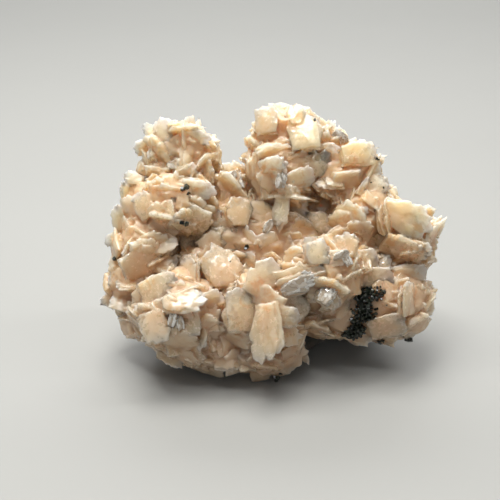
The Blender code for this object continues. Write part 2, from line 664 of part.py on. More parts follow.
def make_druse_pocket():
    """The room that the dark crystals take in the stilbite, round each ball and its prisms."""
    bm = bmesh.new()
    for spot in DRUSE:
        points = ball_points(spot_centre(spot), spot.radius + 1.5 * GAP)
        for corners in spot_prisms(spot, GAP):
            points += corners
        add_hull(bm, points)
    core = bmesh.new()
    add_hull(core, ball_points(spot_centre(DRUSE[0]), 0.5 * DRUSE[0].radius))
    return fuse("druse_pocket", bm, core)


def paint(obj, colour, roughness):
    material = bpy.data.materials.new(obj.name)
    material.use_nodes = True
    surface = material.node_tree.nodes["Principled BSDF"]
    surface.inputs["Base Color"].default_value = (*colour, 1.0)
    surface.inputs["Roughness"].default_value = roughness
    surface.inputs["Metallic"].default_value = 0.0
    obj.data.materials.clear()
    obj.data.materials.append(material)


def main():
    for obj in list(bpy.data.objects):
        bpy.data.objects.remove(obj)
    basalt = make_basalt()
    stilbite = make_stilbite()
    druse = make_druse()
    paint(stilbite, (0.58, 0.40, 0.26), 0.35)
    paint(basalt, (0.035, 0.036, 0.032), 0.85)
    paint(druse, (0.008, 0.010, 0.007), 0.25)
    cluster = bpy.data.collections.new("stilbite_cluster")
    bpy.context.scene.collection.children.link(cluster)
    for obj in (stilbite, basalt, druse):
        bpy.context.scene.collection.objects.unlink(obj)
        cluster.objects.link(obj)


main()
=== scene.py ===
import math
import random
from collections import namedtuple

import bmesh
import bpy
import numpy as np
from mathutils import Matrix, Vector, noise
from mathutils.bvhtree import BVHTree


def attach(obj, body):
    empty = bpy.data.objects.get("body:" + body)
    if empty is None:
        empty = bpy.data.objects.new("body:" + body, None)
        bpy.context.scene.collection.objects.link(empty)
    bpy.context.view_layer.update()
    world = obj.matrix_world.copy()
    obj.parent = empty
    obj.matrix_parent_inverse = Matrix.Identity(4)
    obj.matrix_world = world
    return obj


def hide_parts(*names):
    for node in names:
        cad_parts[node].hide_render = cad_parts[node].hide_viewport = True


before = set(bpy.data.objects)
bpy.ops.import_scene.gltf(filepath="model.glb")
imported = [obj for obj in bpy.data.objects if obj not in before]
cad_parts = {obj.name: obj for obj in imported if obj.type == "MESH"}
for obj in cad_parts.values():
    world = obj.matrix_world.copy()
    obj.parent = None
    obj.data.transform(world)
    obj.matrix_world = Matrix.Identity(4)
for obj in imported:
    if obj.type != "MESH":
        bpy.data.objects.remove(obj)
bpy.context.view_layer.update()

# The tables are in millimetres, as in the part's source, and TO_WORLD takes them to the frame.
MM = 0.001
SEED = 27  # the part's source has the same
SCENE_SEED = 11

# The front view that the crystal table is drawn in: an eye in front of the specimen and above it. A
# crystal's across and up are read on the plane through AIM that faces the eye.
AIM = Vector((-10.0, 0.0, 55.0))
EYE_DISTANCE = 333.0
EYE_ELEVATION = math.radians(28.0)
RIGHTWARD = Vector((1.0, 0.0, 0.0))
UPWARD = Vector((0.0, math.sin(EYE_ELEVATION), math.cos(EYE_ELEVATION)))
TOWARD = Vector((0.0, -math.cos(EYE_ELEVATION), math.sin(EYE_ELEVATION)))
EYE = AIM + TOWARD * EYE_DISTANCE

# The photo's pixels in the front view. The tables of tints, specks and clear crystals are in them.
PHOTO_SIDE = 500
PHOTO_MIDDLE = 250
PIXEL = 0.4417  # the width of a pixel in the front view
FOCAL_PIXELS = 754  # the camera's focal length

# The middle of the finished bounding box in the tables' frame, which goes onto the origin.
MIDDLE_X = -0.35
MIDDLE_Y = 4.2
TO_WORLD = Matrix.Scale(MM, 4) @ Matrix.Translation((-MIDDLE_X, -MIDDLE_Y, 0.0))

# The massive stilbite that the crystals grow from, as overlapping lumps: centre and radii.
Lump = namedtuple("Lump", "x y z rx ry rz")
LUMPS = [Lump(*row) for row in (
    # left front
    (-41, -12, 32, 20, 16, 18), (-33, -14, 19, 20, 13, 11), (-53, -5, 25, 13, 12, 11),
    # centre front
    (-5, -13, 30, 18, 15, 21), (-8, -16, 14, 22, 12, 10),
    # right front
    (22, -7, 47, 18, 14, 16), (27, -5, 29, 17, 13, 12), (51, -4, 31, 19, 14, 17), (60, 10, 56, 13, 12, 14),
    # right, up to the summit
    (41, 16, 65, 15, 14, 15), (31, 24, 82, 16, 12, 13), (22, 28, 93, 12, 9, 9), (6, 25, 82, 17, 13, 18),
    (7, 30, 98, 15, 9, 11),
    # left, from the peak down
    (-42, 30, 90, 14, 10, 13), (-44, 26, 80, 15, 11, 12), (-46, 17, 70, 18, 14, 15),
    (-57, 10, 54, 12, 13, 15), (-62, 3, 37, 12, 12, 12),
    # saddle and hollows
    (-13, 20, 58, 19, 12, 14), (-18, 27, 73, 9, 8, 10), (37, 6, 46, 14, 12, 12), (-31, 4, 42, 14, 12, 12),
    # heart and back
    (0, 16, 44, 46, 16, 24), (-38, 28, 56, 20, 13, 22), (-4, 30, 52, 24, 13, 18), (28, 29, 56, 26, 13, 22),
)]
LUMP_ROUGHNESS = 0.07
ROUGHNESS_PITCH = 1.7  # how quickly the roughness changes round a lump
ROUGHNESS_SHIFT = 0.11  # sets the lumps' roughness apart
LUMP_FACET = 5.5  # the size, height and steepness of the facets that a lump is broken into
LUMP_RELIEF = 1.5
LUMP_STEEPNESS = 2.6
LUMP_SWELL = 0.1
GROUPS = (-44.0, -12.0, 20.0, 47.0)  # where the cluster is divided into pieces, left to right

# The basalt below and behind, that the specimen rests on.
BASALT = [Lump(*row) for row in (
    (-9, 4, 12, 44, 24, 17), (0, 27, 20, 52, 15, 24), (-36, 19, 13, 22, 19, 20), (33, 22, 17, 25, 17, 22),
    (-27, 33, 27, 19, 11, 17), (4, 36, 13, 21, 9, 17), (27, 33, 29, 18, 11, 17), (-47, 19, 23, 12, 14, 14),
    (49, 20, 26, 11, 13, 13),
)]
ROCK_CORNERS = 26  # corners of each lump of rock, between which it broke flat
ROCK_REACH = (0.78, 1.04)  # how far out a corner is, in shares of the lump's radii
ROCK_CHIPS = ((0.16, 1.0), (0.45, 0.6), (1.1, 0.25))  # the pitch and depth of its roughness
ROCK_RELIEF = 0.8
ROCK_LOSS = 0.35

# A crystal's outline at mid thickness: width across and length up, in shares of the crystal's own.
OUTLINES = {
    "point": [(-0.36, -0.5), (0.36, -0.5), (0.5, -0.08), (0.45, 0.2), (0.05, 0.5), (-0.36, 0.3),
              (-0.5, 0.0)],
    "blunt": [(-0.4, -0.5), (0.4, -0.5), (0.5, 0.05), (0.4, 0.38), (0.12, 0.5), (-0.36, 0.4),
              (-0.5, 0.08)],
    "leaf": [(-0.24, -0.5), (0.24, -0.5), (0.46, -0.22), (0.5, 0.1), (0.3, 0.4), (0.0, 0.5), (-0.34, 0.36),
             (-0.5, 0.04)],
    "block": [(-0.42, -0.5), (0.4, -0.5), (0.5, -0.1), (0.46, 0.38), (0.2, 0.5), (-0.32, 0.46), (-0.5, 0.2)],
    "small": [(-0.4, -0.5), (0.4, -0.5), (0.5, 0.1), (0.22, 0.5), (-0.26, 0.44), (-0.5, 0.0)],
}
THINNING = 0.8

# Crystals placed one by one. Each has the middle in the front view (across, up), the way its tip points
# there (turn, from the right), how far it leans towards the eye (lift), the turn about its own length
# (roll), its length, width and thickness, its outline, and how far it stands out from the lumps (proud).
Crystal = namedtuple("Crystal", "across up turn lift roll length width thick outline proud", defaults=(0.0,))
SHOWN = [Crystal(*row) for row in (
    # left peak
    (-44, 52.5, 148, 10, 15, 10, 7, 3, "leaf"), (-38.5, 52, 97, -10, 5, 15, 9, 3.5, "point"),
    (-28, 54, 4, 0, 55, 18, 9, 4, "blunt"), (-24, 50, -8, 10, 45, 17, 8, 3.5, "blunt"),
    (-17.5, 47, -40, 15, 20, 10, 8, 3, "block"), (-49, 45, 184, 5, -10, 10, 8.5, 3, "leaf"),
    (-42.5, 44, 75, -15, 15, 11, 8, 3.5, "block"), (-34, 37.5, 5, -20, 0, 7, 5, 4, "block"),
    (-27, 43, 84, -20, 10, 12, 8, 3.5, "block"), (-21, 42.5, 102, -10, 25, 11, 7.5, 3, "blunt"),
    (-16, 41, 72, -10, 40, 10, 7, 3, "leaf"), (-46.5, 37.5, 58, -15, -20, 10, 8, 3.5, "blunt"),
    (-53, 32.5, 160, 5, 10, 10, 7, 3, "leaf"), (-28, 34.5, 18, 10, 25, 11, 8, 3.5, "block"),
    (-20, 32, 8, 10, -20, 9, 6, 3, "leaf"),
    # left middle
    (-40, 26.5, 3, 0, 12, 18, 10, 4, "block", 2.0), (-22, 26.5, -16, 10, 10, 17, 10, 4, "point", 2.0),
    (-54.5, 25.5, 96, -5, 30, 13, 8, 3.5, "blunt"), (-46.5, 20, 120, 0, 15, 12, 10, 4, "block"),
    (-37.5, 16, 100, -10, -10, 13, 11, 4, "block", 1.0), (-32, 18.5, 88, -5, 30, 10, 7, 3.5, "blunt"),
    (-23.5, 19.5, 170, 5, 20, 13, 9, 4, "block"), (-57.5, 14.5, 93, 0, -20, 13, 8, 3.5, "leaf"),
    (-58.5, 4.5, 190, 10, 15, 13, 9, 4, "leaf"), (-46.5, 13, 85, 20, 15, 12, 10, 4, "block", -3.0),
    (-37.5, 1.5, 14, 0, -15, 16, 10, 4.5, "leaf", 2.0), (-34.5, 9, 60, 10, -10, 9, 7, 3, "blunt"),
    (-27.5, 5, 92, 0, 30, 14, 8, 4, "blunt", 1.0), (-21, 3.5, 100, 20, 20, 10, 8, 3.5, "block", -2.0),
    (-48.5, -5.5, 18, 5, 10, 18, 14, 5, "block", 2.0), (-36, -6.5, 0, 15, 15, 11, 9, 4, "block"),
    (-26.5, -9, 98, -5, -10, 16, 13, 4.5, "block", 1.5), (-13, -7, 108, -5, 8, 21, 18, 5, "point", 4.0),
    (-9.5, -2, 60, 10, 20, 7, 5.5, 3, "leaf", 5.0), (-42, -16.5, 20, 0, 10, 19, 13, 5, "block", 1.5),
    (-59, -6.5, 82, 0, 40, 13, 8, 4, "blunt"), (-61, -14, 110, 0, 20, 8, 6, 3, "leaf"),
    (-55, -15.5, 172, 10, 30, 10, 7, 3.5, "leaf"), (-55, -23.5, 158, 5, 10, 15, 11, 4.5, "block", 1.0),
    (-63, -22, 205, 5, 30, 9, 7, 3.5, "point"), (-57, -30, 20, 5, 40, 11, 8, 4, "blunt"),
    # left front
    (-28.5, -22, 4, 10, -35, 20, 12, 4, "point", 4.0), (-32.5, -30, 268, 10, 50, 16, 7, 4, "blunt", 2.0),
    (-26, -32, 268, 5, 10, 12, 9, 4, "block", 1.0), (-41, -34, 282, 10, 8, 15, 13, 5, "leaf", 3.0),
    (-21, -39, 264, 10, 40, 13, 6, 3, "point", 4.0), (-17, -29.5, 92, 0, 10, 13, 10, 4, "block"),
    (-18, -21.5, 20, 5, 15, 12, 10, 4, "block", 1.0), (-49.5, -33, 100, 0, -15, 13, 9, 4, "blunt"),
    (-52, -41, 100, 5, -20, 9, 7, 3.5, "leaf"), (-39, -25, 10, 5, 20, 11, 8, 4, "block"),
    (-43, -43, -10, 10, 20, 12, 8, 4, "block", -1.0), (-30, -43, 16, 5, 10, 17, 11, 5, "leaf", 1.0),
    (-37, -48, -22, 5, 30, 14, 8, 4, "block"), (-24, -50.5, -18, 5, 35, 13, 8, 4, "blunt"),
    (-15.5, -43, 88, 10, 15, 12, 10, 4, "block"), (-9.5, -37.5, 92, 5, 25, 14, 9, 4, "block"),
    (-15, -54, -12, 10, 30, 12, 8, 4, "block"),
    # centre front
    (5.5, -11, 58, 0, 10, 18, 14, 5, "point", 3.0), (0, -5, 90, 10, -10, 11, 9, 4, "leaf", 1.0),
    (-4.5, -27.5, 88, 0, 8, 19, 16, 5.5, "block", 2.5), (9.5, -21, 150, 0, -12, 14, 11, 4.5, "block", 2.5),
    (6.5, -37, 266, 8, 12, 26, 13, 4.5, "leaf", 5.0), (15, -29, -6, 5, 12, 14, 10, 4, "block", 3.0),
    (16.5, -37, -4, 5, 10, 15, 10, 4, "point", 3.0), (-1, -43, 232, 10, 40, 10, 6, 3.5, "leaf"),
    (19, -44, 22, 5, 20, 12, 9, 4.5, "block"), (25, -41.5, 245, 0, 25, 13, 9, 4, "blunt"),
    (-9, -49.5, 0, 5, 20, 12, 9, 4, "block", 1.0), (-2, -54, 80, 5, 15, 11, 9, 4, "block"),
    (15.5, -52, 32, 5, 15, 12, 8, 4, "leaf"), (5, -54.5, 20, 5, 25, 11, 8, 4, "block"),
    (35.5, -36, 34, 0, 35, 15, 8, 4, "blunt"),
    # right centre
    (28.5, 0.5, 100, -5, 6, 13, 12, 4.5, "leaf", 4.0), (28, -8, 8, 0, 10, 25, 13, 5, "block", 2.0),
    (39, -3, 30, 0, -20, 9, 7, 3.5, "leaf", 2.0), (22, -14.5, 22, 10, 18, 15, 9, 4, "leaf", 3.5),
    (34.5, -21.5, -22, 10, 10, 12, 9, 4, "leaf", 2.5), (22, -24.5, 40, 10, 25, 14, 10, 4.5, "block", -3.0),
    (31, -32, 16, 0, 35, 18, 10, 5, "block"), (42, 2, 98, -5, 15, 12, 12, 4.5, "leaf", 2.0),
    (49.5, -5, 12, 0, 10, 15, 12, 5, "block", 2.0), (57.5, -6.5, 2, 0, 15, 10, 9, 4, "block", 2.0),
    (54, -12, 4, 0, 40, 19, 10, 4.5, "block", 2.0), (46, -16, 88, -5, 10, 10, 8, 4, "block", 1.5),
    (40.5, -25, 60, 5, 20, 11, 7, 4, "blunt"), (62, -17, 92, -5, 20, 11, 7, 4, "block", 1.0),
    (61, -24.5, -20, 15, 30, 9, 7, 4, "block", -1.0), (60, -33, 12, 5, 20, 17, 14, 5.5, "block", 1.0),
    (68.5, -21, 88, -5, 20, 16, 12, 5, "block", 1.0), (72, -32, 92, 0, 45, 15, 10, 4.5, "block"),
    (48, -38.5, -18, 5, 30, 14, 8, 4.5, "blunt"), (70, -10, 4, 5, 15, 16, 10, 4.5, "block", 1.0),
    (72, 0, 10, 10, 15, 19, 11, 4.5, "leaf", 1.0), (71.5, 12.5, -24, 5, 8, 23, 16, 5, "leaf", 4.0),
    (56.5, 1.5, 80, 15, 10, 9, 9, 4, "block", -2.5), (57.5, 16, 100, 0, 20, 18, 12, 4.5, "leaf", 1.5),
    (55, 22, -30, 0, -30, 14, 9, 4, "block"), (56, 28.5, -18, 5, 10, 13, 10, 4, "point", 1.0),
    (50, 28, 56, 15, 60, 10, 6, 3, "blunt", 2.0), (48, 42, 6, -5, 15, 18, 12, 4.5, "block", 1.0),
    (43.5, 41, 80, 5, 10, 7, 5, 3, "leaf", 3.0), (54, 36, -62, 0, 25, 11, 8, 4, "blunt"),
    (42, 32, 2, 5, 20, 13, 10, 4, "block"), (48.5, 16.5, 32, 10, -10, 8, 6, 3, "leaf", 2.0),
    (42, 19, 300, 20, 50, 8, 5, 3, "point", 2.0), (33.5, 13.5, -25, 5, 0, 16, 10, 4, "leaf", 4.0),
    (42, 9.5, 20, 10, 20, 12, 10, 4.5, "block"), (30, 24, 60, 10, 20, 8, 5, 3.5, "blunt", 1.0),
    (35, 30, 172, 5, 15, 13, 9, 4, "blunt"), (22, 9, 70, 15, 10, 14, 11, 5, "block", -3.0),
    (15.5, 1, 20, 20, 15, 12, 10, 5, "block", -2.0),
    # right peak
    (13, 14, 262, 8, 20, 20, 9, 4, "point", 5.0), (6.5, 6, 202, 5, -15, 12, 7, 4, "point", 4.0),
    (21, 20, 300, 5, 10, 14, 9, 4, "leaf", 3.0), (12.5, 31, 300, 5, 30, 11, 7, 3.5, "leaf", 2.0),
    (2.5, 32, 290, 5, 25, 24, 10, 4, "point", 1.0), (8, 45, 14, 0, 25, 16, 12, 4.5, "leaf", 1.0),
    (8, 57, 92, -5, 8, 14, 12, 4.5, "block"), (20.5, 59.5, 90, 0, 15, 11, 9, 4, "leaf"),
    (24, 51.5, 96, -5, 12, 17, 15, 5, "block", 1.0), (34, 53, 60, 5, 40, 12, 8, 4, "blunt"),
    (39.5, 50, -20, 5, 20, 8, 5, 3, "point"), (29, 38, 20, 5, 15, 16, 12, 4.5, "block", 1.0),
    (11, 37, 2, 10, 35, 14, 9, 4, "block", 1.0), (22, 32, 20, 5, 25, 14, 10, 4.5, "block", 1.0),
    (24, 26, 80, 5, 20, 12, 8, 4, "block"), (33.5, 44, 4, 0, 20, 12, 9, 4, "block"),
    (7, 26, 95, 10, 25, 12, 9, 4, "block"),
    # saddle
    (-8.5, 33, 112, 0, 20, 12, 6, 3.5, "point"), (-5.5, 31, 62, 5, -30, 11, 5.5, 3.5, "point"),
    (-11, 35, 135, 0, 40, 10, 6, 3.5, "leaf"), (-5.5, 18, 92, -5, 8, 14, 13, 5, "leaf", 2.0),
    (-16, 14, 88, -5, -10, 10, 9, 4, "block", 1.0), (-15.5, 4.5, 30, 5, 10, 15, 11, 5, "leaf"),
    (5, 16.5, -20, 5, 25, 13, 10, 4, "block"), (-4.5, 6, 100, 20, 15, 12, 9, 4.5, "block", -3.0),
    (-16, 36, 60, 0, 40, 11, 7, 3.5, "blunt"),
)]
PROMINENT = 2.5  # a crystal this proud is turned as given, and any other strays a little from it
STRAY_LIFT = 18.0
STRAY_ROLL = 34.0
HELD_DEPTH = 0.88  # how deep a crystal's foot is held, in shares of a lump's radii

# The crystals that no table gives, spread over the rest of the lumps.
AREA_PER_CRYSTAL = 115.0
LOWEST_CRYSTAL = 8.0
SHORTEST = 11.0
LONGEST = 17.0
WIDTHS = (0.55, 0.8)  # in shares of the length
THICKS = (0.18, 0.26)
TILTS = (15, 65)  # from upright on the surface, in degrees
EDGE_TILTS = (45, 75)  # where the surface is seen edge-on
EDGE_ON = 0.45
FRONT_SHARE = 0.7  # those between the placed crystals are smaller
CROWDING = 0.15  # how far a placed crystal keeps others off, in shares of its size, and the room beyond
ELBOW_ROOM = 3.0
VEILED = 4.0  # how far behind the lumps' front a point still counts as seen
BURIED = 0.95  # how deep in another lump a point is no longer worth a crystal, in shares of its radii

# The crystals that cover what those leave of the lumps, large ones and small ones: the lump's area for
# each, length, width and thickness in shares of the length, how far the tip stands out, and the tilt.
Fill = namedtuple("Fill", "area lengths widths thicks stands tilts")
FILLS = (
    Fill(125.0, (15.0, 21.0), (0.8, 1.1), (0.4, 0.5), (1.4, 3.2), (50, 82)),
    Fill(85.0, (10.0, 14.0), (0.8, 1.1), (0.4, 0.5), (0.9, 2.1), (52, 86)),
)
FILL_STYLES = ("blunt", "block", "point", "block")
LOWEST_FILL = 5.0
FALL_LINE = Vector((0.12, -0.2, 1.0))  # the way that their tips mostly point
FRONT_HALF = 10.0  # nearer than this in Y, they face the front more
FACE_FRONT = -0.6
FACE_BACK = 0.2

# Where no tip may stand in front of a placed crystal: over its face, in shares of it, and how far off.
NEAR_TIP = Vector((0.0, 0.0, 0.3))
VERY_TIP = Vector((0.0, 0.0, 0.4))
FACE_SIDE = 0.42
FACE_FOOT = -0.2
FACE_TOP = 0.45
FACE_CLEARING = 14.0

# The dark crystals on the right lobe: balls set into the stilbite, each bristling with square prisms.
Spot = namedtuple("Spot", "across up radius")
DRUSE = [Spot(51.5, -20.5, 3.4), Spot(47.5, -27.0, 3.8), Spot(52.5, -27.0, 3.4), Spot(45.5, -34.0, 4.2),
         Spot(56.5, -19.0, 2.2)]
DRUSE_PROUD = 1.0
DRUSE_CLEARING = 5.0
FILL_CLEARING = 6.0
DRUSE_FRONT = 15.0  # behind this in Y, the patch can't be in the way
PRISMS_PER_RADIUS = 16
PRISM_SPREAD = math.radians(92)
RUST_REACH = 4.0  # how far the iron stain runs past the patch

# The rim of the dark arch at the lower right, in pixels, below which no crystal hangs.
ARCH_ACROSS = (278, 283, 345, 360, 385, 400, 420)
ARCH_RIM = (382, 376, 326, 337, 343, 343, 333)
ARCH_MARGIN = 2

# The few glassy crystals: the middle in pixels, and the rest as in the table above.
CLEAR = (
    (300, 283, 24, 10, 20, 17, 8, 3, "leaf", 3.4), (327, 294, 60, 0, -10, 9, 8, 2.6, "leaf", 2.8),
    (281, 180, 80, 5, 10, 8, 5, 2.4, "point", 2.6), (341, 138, -35, 0, 30, 8.5, 5, 2.2, "point", 2),
    (203, 337, -100, 12, 20, 7.5, 3.4, 2, "point", 3), (174, 318, 75, 15, -20, 7, 4, 2.2, "point", 2.6),
    (181, 322, 95, 10, 25, 6.5, 3.6, 2, "point", 2.6), (232, 176, 50, 0, 15, 7, 4, 2, "point", 1.5),
    (240, 182, 110, 5, -25, 6, 3.6, 2, "point", 1.5), (268, 226, 60, 5, 30, 7, 4.5, 2, "leaf", 2.2),
    (340, 255, 30, 10, 40, 7.5, 5, 2.2, "block", 2.6), (346, 259, 120, 15, 10, 6, 4, 2, "point", 2.4),
)

# Single dark grains on the stilbite: across and down in pixels, size, and how many prisms.
SPECKS = (
    (185, 190, 1.6, 4), (188, 193, 1, 3), (185, 224, 1.5, 4), (114, 258, 1.3, 4), (105, 292, 1.3, 4),
    (248, 246, 1.4, 3), (314, 120, 0.7, 2), (377, 160, 1, 3), (231, 262, 0.6, 1), (372, 183, 0.6, 1),
    (384, 188, 0.6, 2), (380, 341, 1.3, 3), (277, 377, 1.5, 5), (281, 375, 1.1, 3), (317, 344, 1.6, 5),
    (313, 347, 1.2, 3), (409, 338, 1.5, 3), (387, 305, 0.6, 1),
)

# The crystals' tints in sRGB. Brown serves mostly as painted shade, and white partly as painted highlight.
SRGB = {
    "white": (244, 234, 210), "cream": (234, 209, 170), "pale": (238, 219, 184), "peach": (232, 198, 152),
    "pink": (228, 194, 158), "green": (222, 208, 172), "grey": (218, 206, 182), "tan": (214, 174, 130),
    "brown": (188, 138, 92), "orange": (220, 154, 88), "yellow": (238, 212, 158),
}
COMMON = ("cream", "cream", "peach", "peach", "pale", "pink", "tan", "green", "yellow")

# Where the photo shows a crystal with a tint of its own, in shade or glinting, listed by name: across and
# down in pixels, radius.
TINTS = {
    "yellow": [
        (150, 131, 7), (210, 143, 8), (127, 192, 7), (415, 222, 12), (355, 155, 9), (297, 113, 7),
        (310, 130, 8)
    ],
    "pale": [
        (163, 128, 7), (185, 127, 10), (114, 270, 7), (160, 330, 11), (285, 316, 8), (285, 367, 8),
        (315, 248, 8), (405, 300, 12), (365, 185, 5), (349, 157, 4), (280, 222, 7), (270, 145, 10),
        (213, 217, 7)
    ],
    "green": [
        (139, 149, 7), (153, 150, 6), (118, 215, 8), (117, 240, 8), (226, 252, 6), (155, 287, 12),
        (188, 322, 6), (265, 335, 10)
    ],
    "orange": [
        (175, 153, 5), (175, 207, 5), (170, 262, 7), (205, 318, 6), (387, 305, 6), (297, 155, 6)
    ],
    # white: partly pale crystals, partly painted highlight where crystals glint
    "white": [
        (173, 165, 4), (205, 177, 7), (200, 190, 9), (170, 230, 6), (185, 300, 9), (175, 320, 7),
        (203, 338, 5), (265, 297, 8), (250, 347, 8), (338, 255, 6), (360, 285, 6), (417, 325, 7),
        (380, 185, 8), (360, 213, 6), (345, 207, 5), (262, 235, 7), (300, 207, 6), (292, 193, 6),
        (275, 165, 7), (235, 178, 8)
    ],
    "cream": [
        (195, 155, 8), (165, 215, 12), (165, 245, 9), (185, 235, 7), (138, 325, 10), (180, 345, 11),
        (262, 277, 8), (252, 262, 8), (240, 310, 12), (308, 345, 7), (322, 262, 11), (365, 258, 8),
        (310, 165, 8), (300, 180, 8)
    ],
    "grey": [
        (145, 165, 8), (302, 282, 6), (268, 225, 5), (280, 180, 5), (250, 255, 6)
    ],
    "peach": [
        (160, 190, 10)
    ],
    # brown: mostly painted shade, on crystals that sit in recesses and under overhangs
    "brown": [
        (145, 237, 10), (200, 242, 6), (112, 300, 6), (150, 345, 9), (222, 322, 5), (295, 350, 9),
        (245, 365, 7), (300, 305, 10), (410, 338, 5), (393, 250, 7), (380, 215, 8), (328, 198, 7),
        (320, 185, 5), (300, 230, 8), (285, 248, 7), (216, 204, 6), (248, 246, 4)
    ],
    "pink": [
        (140, 262, 12), (190, 270, 9), (220, 265, 12), (125, 285, 6), (125, 300, 7), (230, 365, 8),
        (330, 320, 10), (390, 325, 10), (410, 275, 10), (380, 250, 7), (325, 218, 9), (268, 120, 11)
    ],
    "tan": [
        (215, 310, 7), (287, 332, 8), (347, 247, 6), (372, 275, 8), (415, 250, 8), (375, 200, 8),
        (350, 175, 8), (330, 185, 8), (255, 175, 10), (235, 208, 9), (215, 240, 8), (260, 215, 8)
    ],
}
COMMON_SHARE = 0.45  # of a common tint over cream
TINT_SHARE = 0.7
TINT_REACH = 1.3  # how far past its radius a tint still counts
TINT_DEPTH = 9.0  # how far behind the lumps' front a tint still counts

GOLDEN_TURN = math.pi * (3 - math.sqrt(5))
VOXEL = 0.5  # the grain of the stilbite pieces, of the clear ones and of the rock
CLEAR_VOXEL = 0.3
ROCK_VOXEL = 0.8
KEEP = 0.45  # the share of triangles kept

# The relief worked into the crystals: ledges along each one's width, thickness and length, and chips.
LEDGE = np.array((5.5, 1.7, 9.0))
LEDGE_RELIEF = 0.26
LEDGE_STEEPNESS = 2.0
CHIP = 1.8
CHIP_RELIEF = 0.06
CHIP_STEEPNESS = 1.8
SURFACE_LOSS = 0.05

Tablet = namedtuple("Tablet", "outline matrix")


def ray_through(across, up):
    """The way from the eye through a point of the front view."""
    return (AIM + RIGHTWARD * across + UPWARD * up - EYE).normalized()


def front_view(point):
    """Where the eye sees a point, as across and up."""
    ray = point - EYE
    offset = EYE + ray * (EYE_DISTANCE / -ray.dot(TOWARD)) - AIM
    return offset.dot(RIGHTWARD), offset.dot(UPWARD)


def shown_at(px, py):
    """Where a pixel of the photo is in the front view."""
    return (px - PHOTO_MIDDLE) * PIXEL, (PHOTO_MIDDLE - py) * PIXEL


def centre_of(lump):
    return Vector((lump.x, lump.y, lump.z))


def radii_times(lump, vector):
    return Vector((vector.x * lump.rx, vector.y * lump.ry, vector.z * lump.rz))


def in_radii(lump, vector):
    return Vector((vector.x / lump.rx, vector.y / lump.ry, vector.z / lump.rz))


def area_of(lump):
    return 4 * math.pi * (lump.rx * lump.ry + lump.rx * lump.rz + lump.ry * lump.rz) / 3


def depth_in(lump, point):
    """How far out a point is in a lump: 0 at its centre and 1 on its surface."""
    return in_radii(lump, point - centre_of(lump)).length


def entry_distance(lump, ray):
    """How far along the ray from the eye the lump begins, or None if the ray misses it."""
    start = in_radii(lump, EYE - centre_of(lump))
    step = in_radii(lump, ray)
    a = step.dot(step)
    b = 2 * start.dot(step)
    c = start.dot(start) - 1
    inside = b * b - 4 * a * c
    return None if inside < 0 else (-b - math.sqrt(inside)) / (2 * a)


def nearest_entry(ray):
    entries = [entry_distance(lump, ray) for lump in LUMPS]
    return min((e for e in entries if e is not None), default=None)


def miss_distance(lump, ray):
    offset = centre_of(lump) - EYE
    return (offset - ray * offset.dot(ray)).length - min(lump.rx, lump.rz)


def surface_point(across, up):
    """Where the front of the lumps lies behind a point of the front view, or the place beside them."""
    ray = ray_through(across, up)
    entry = nearest_entry(ray)
    if entry is None:
        nearest = min(LUMPS, key=lambda lump: miss_distance(lump, ray))
        entry = (centre_of(nearest) - EYE).dot(ray)
    return EYE + ray * entry


def spiral(count, rng, stray):
    """Directions spread evenly all round, each turned a little at random."""
    for i in range(count):
        height = 1 - 2 * (i + 0.5) / count
        around = i * GOLDEN_TURN + rng.uniform(-stray, stray)
        level = math.sqrt(1 - height * height)
        yield Vector((level * math.cos(around), level * math.sin(around), height))


def near_druse(point, clearing):
    across, up = front_view(point)
    return any(math.hypot(across - s.across, up - s.up) < s.radius + clearing for s in DRUSE)


# Where the crystals stand


def tablet_matrix(along, facing, middle, width, thick, length):
    """Lays a unit tablet (width X, thickness Y, length Z) along a direction."""
    normal = (facing - along * facing.dot(along)).normalized()
    across = normal.cross(along)
    turned = Matrix((across, normal, along)).transposed().to_4x4()
    return Matrix.Translation(middle) @ turned @ Matrix.Diagonal((width, thick, length, 1.0))


def shown_matrix(c, lift, roll, thick):
    """Lays a crystal of the front view, leant and rolled by these angles."""
    turn = math.radians(c.turn)
    flat = RIGHTWARD * math.cos(turn) + UPWARD * math.sin(turn)
    along = flat * math.cos(lift) + TOWARD * math.sin(lift)
    facing = Matrix.Rotation(roll, 3, along) @ (TOWARD - along * TOWARD.dot(along)).normalized()
    middle = surface_point(c.across, c.up) + TOWARD * c.proud
    return tablet_matrix(along, facing, middle, c.width, thick, c.length)


def settled(matrix):
    """Moves a tablet that stands off the lumps inward until a corner of its foot is held."""
    feet = [matrix @ Vector((x, y, -0.45)) for x in (-0.35, 0.35) for y in (-0.4, 0.4)]
    pairs = [(foot, lump) for foot in feet for lump in LUMPS]
    foot, lump = min(pairs, key=lambda pair: depth_in(pair[1], pair[0]))
    depth = depth_in(lump, foot)
    if depth < HELD_DEPTH:
        return matrix
    inward = (centre_of(lump) - foot) * (1 - HELD_DEPTH / depth)
    return Matrix.Translation(inward) @ matrix


def placed_tablets(rng):
    found = []
    for c in SHOWN:
        stray = 0.0 if c.proud >= PROMINENT else 1.0
        lift = math.radians(c.lift + stray * rng.uniform(-STRAY_LIFT, STRAY_LIFT))
        roll = math.radians(c.roll + stray * rng.uniform(-STRAY_ROLL, STRAY_ROLL))
        found.append(Tablet(c.outline, settled(shown_matrix(c, lift, roll, c.thick * THINNING))))
    return found


def seen_from_front(point, normal):
    ray = (point - EYE).normalized()
    if normal.dot(ray) > 0:
        return False
    entry = nearest_entry(ray)
    return entry is None or entry > (point - EYE).length - VEILED


def crowded(point):
    """Whether a placed crystal or the dark patch already fills this part of the front view."""
    across, up = front_view(point)
    for c in SHOWN:
        if math.hypot(across - c.across, up - c.up) < CROWDING * (c.length + c.width) + ELBOW_ROOM:
            return True
    return near_druse(point, DRUSE_CLEARING)


def buried(point, own):
    """Whether the point lies inside another lump or in the basalt."""
    return any(lump is not own and depth_in(lump, point) < BURIED for lump in LUMPS + BASALT)


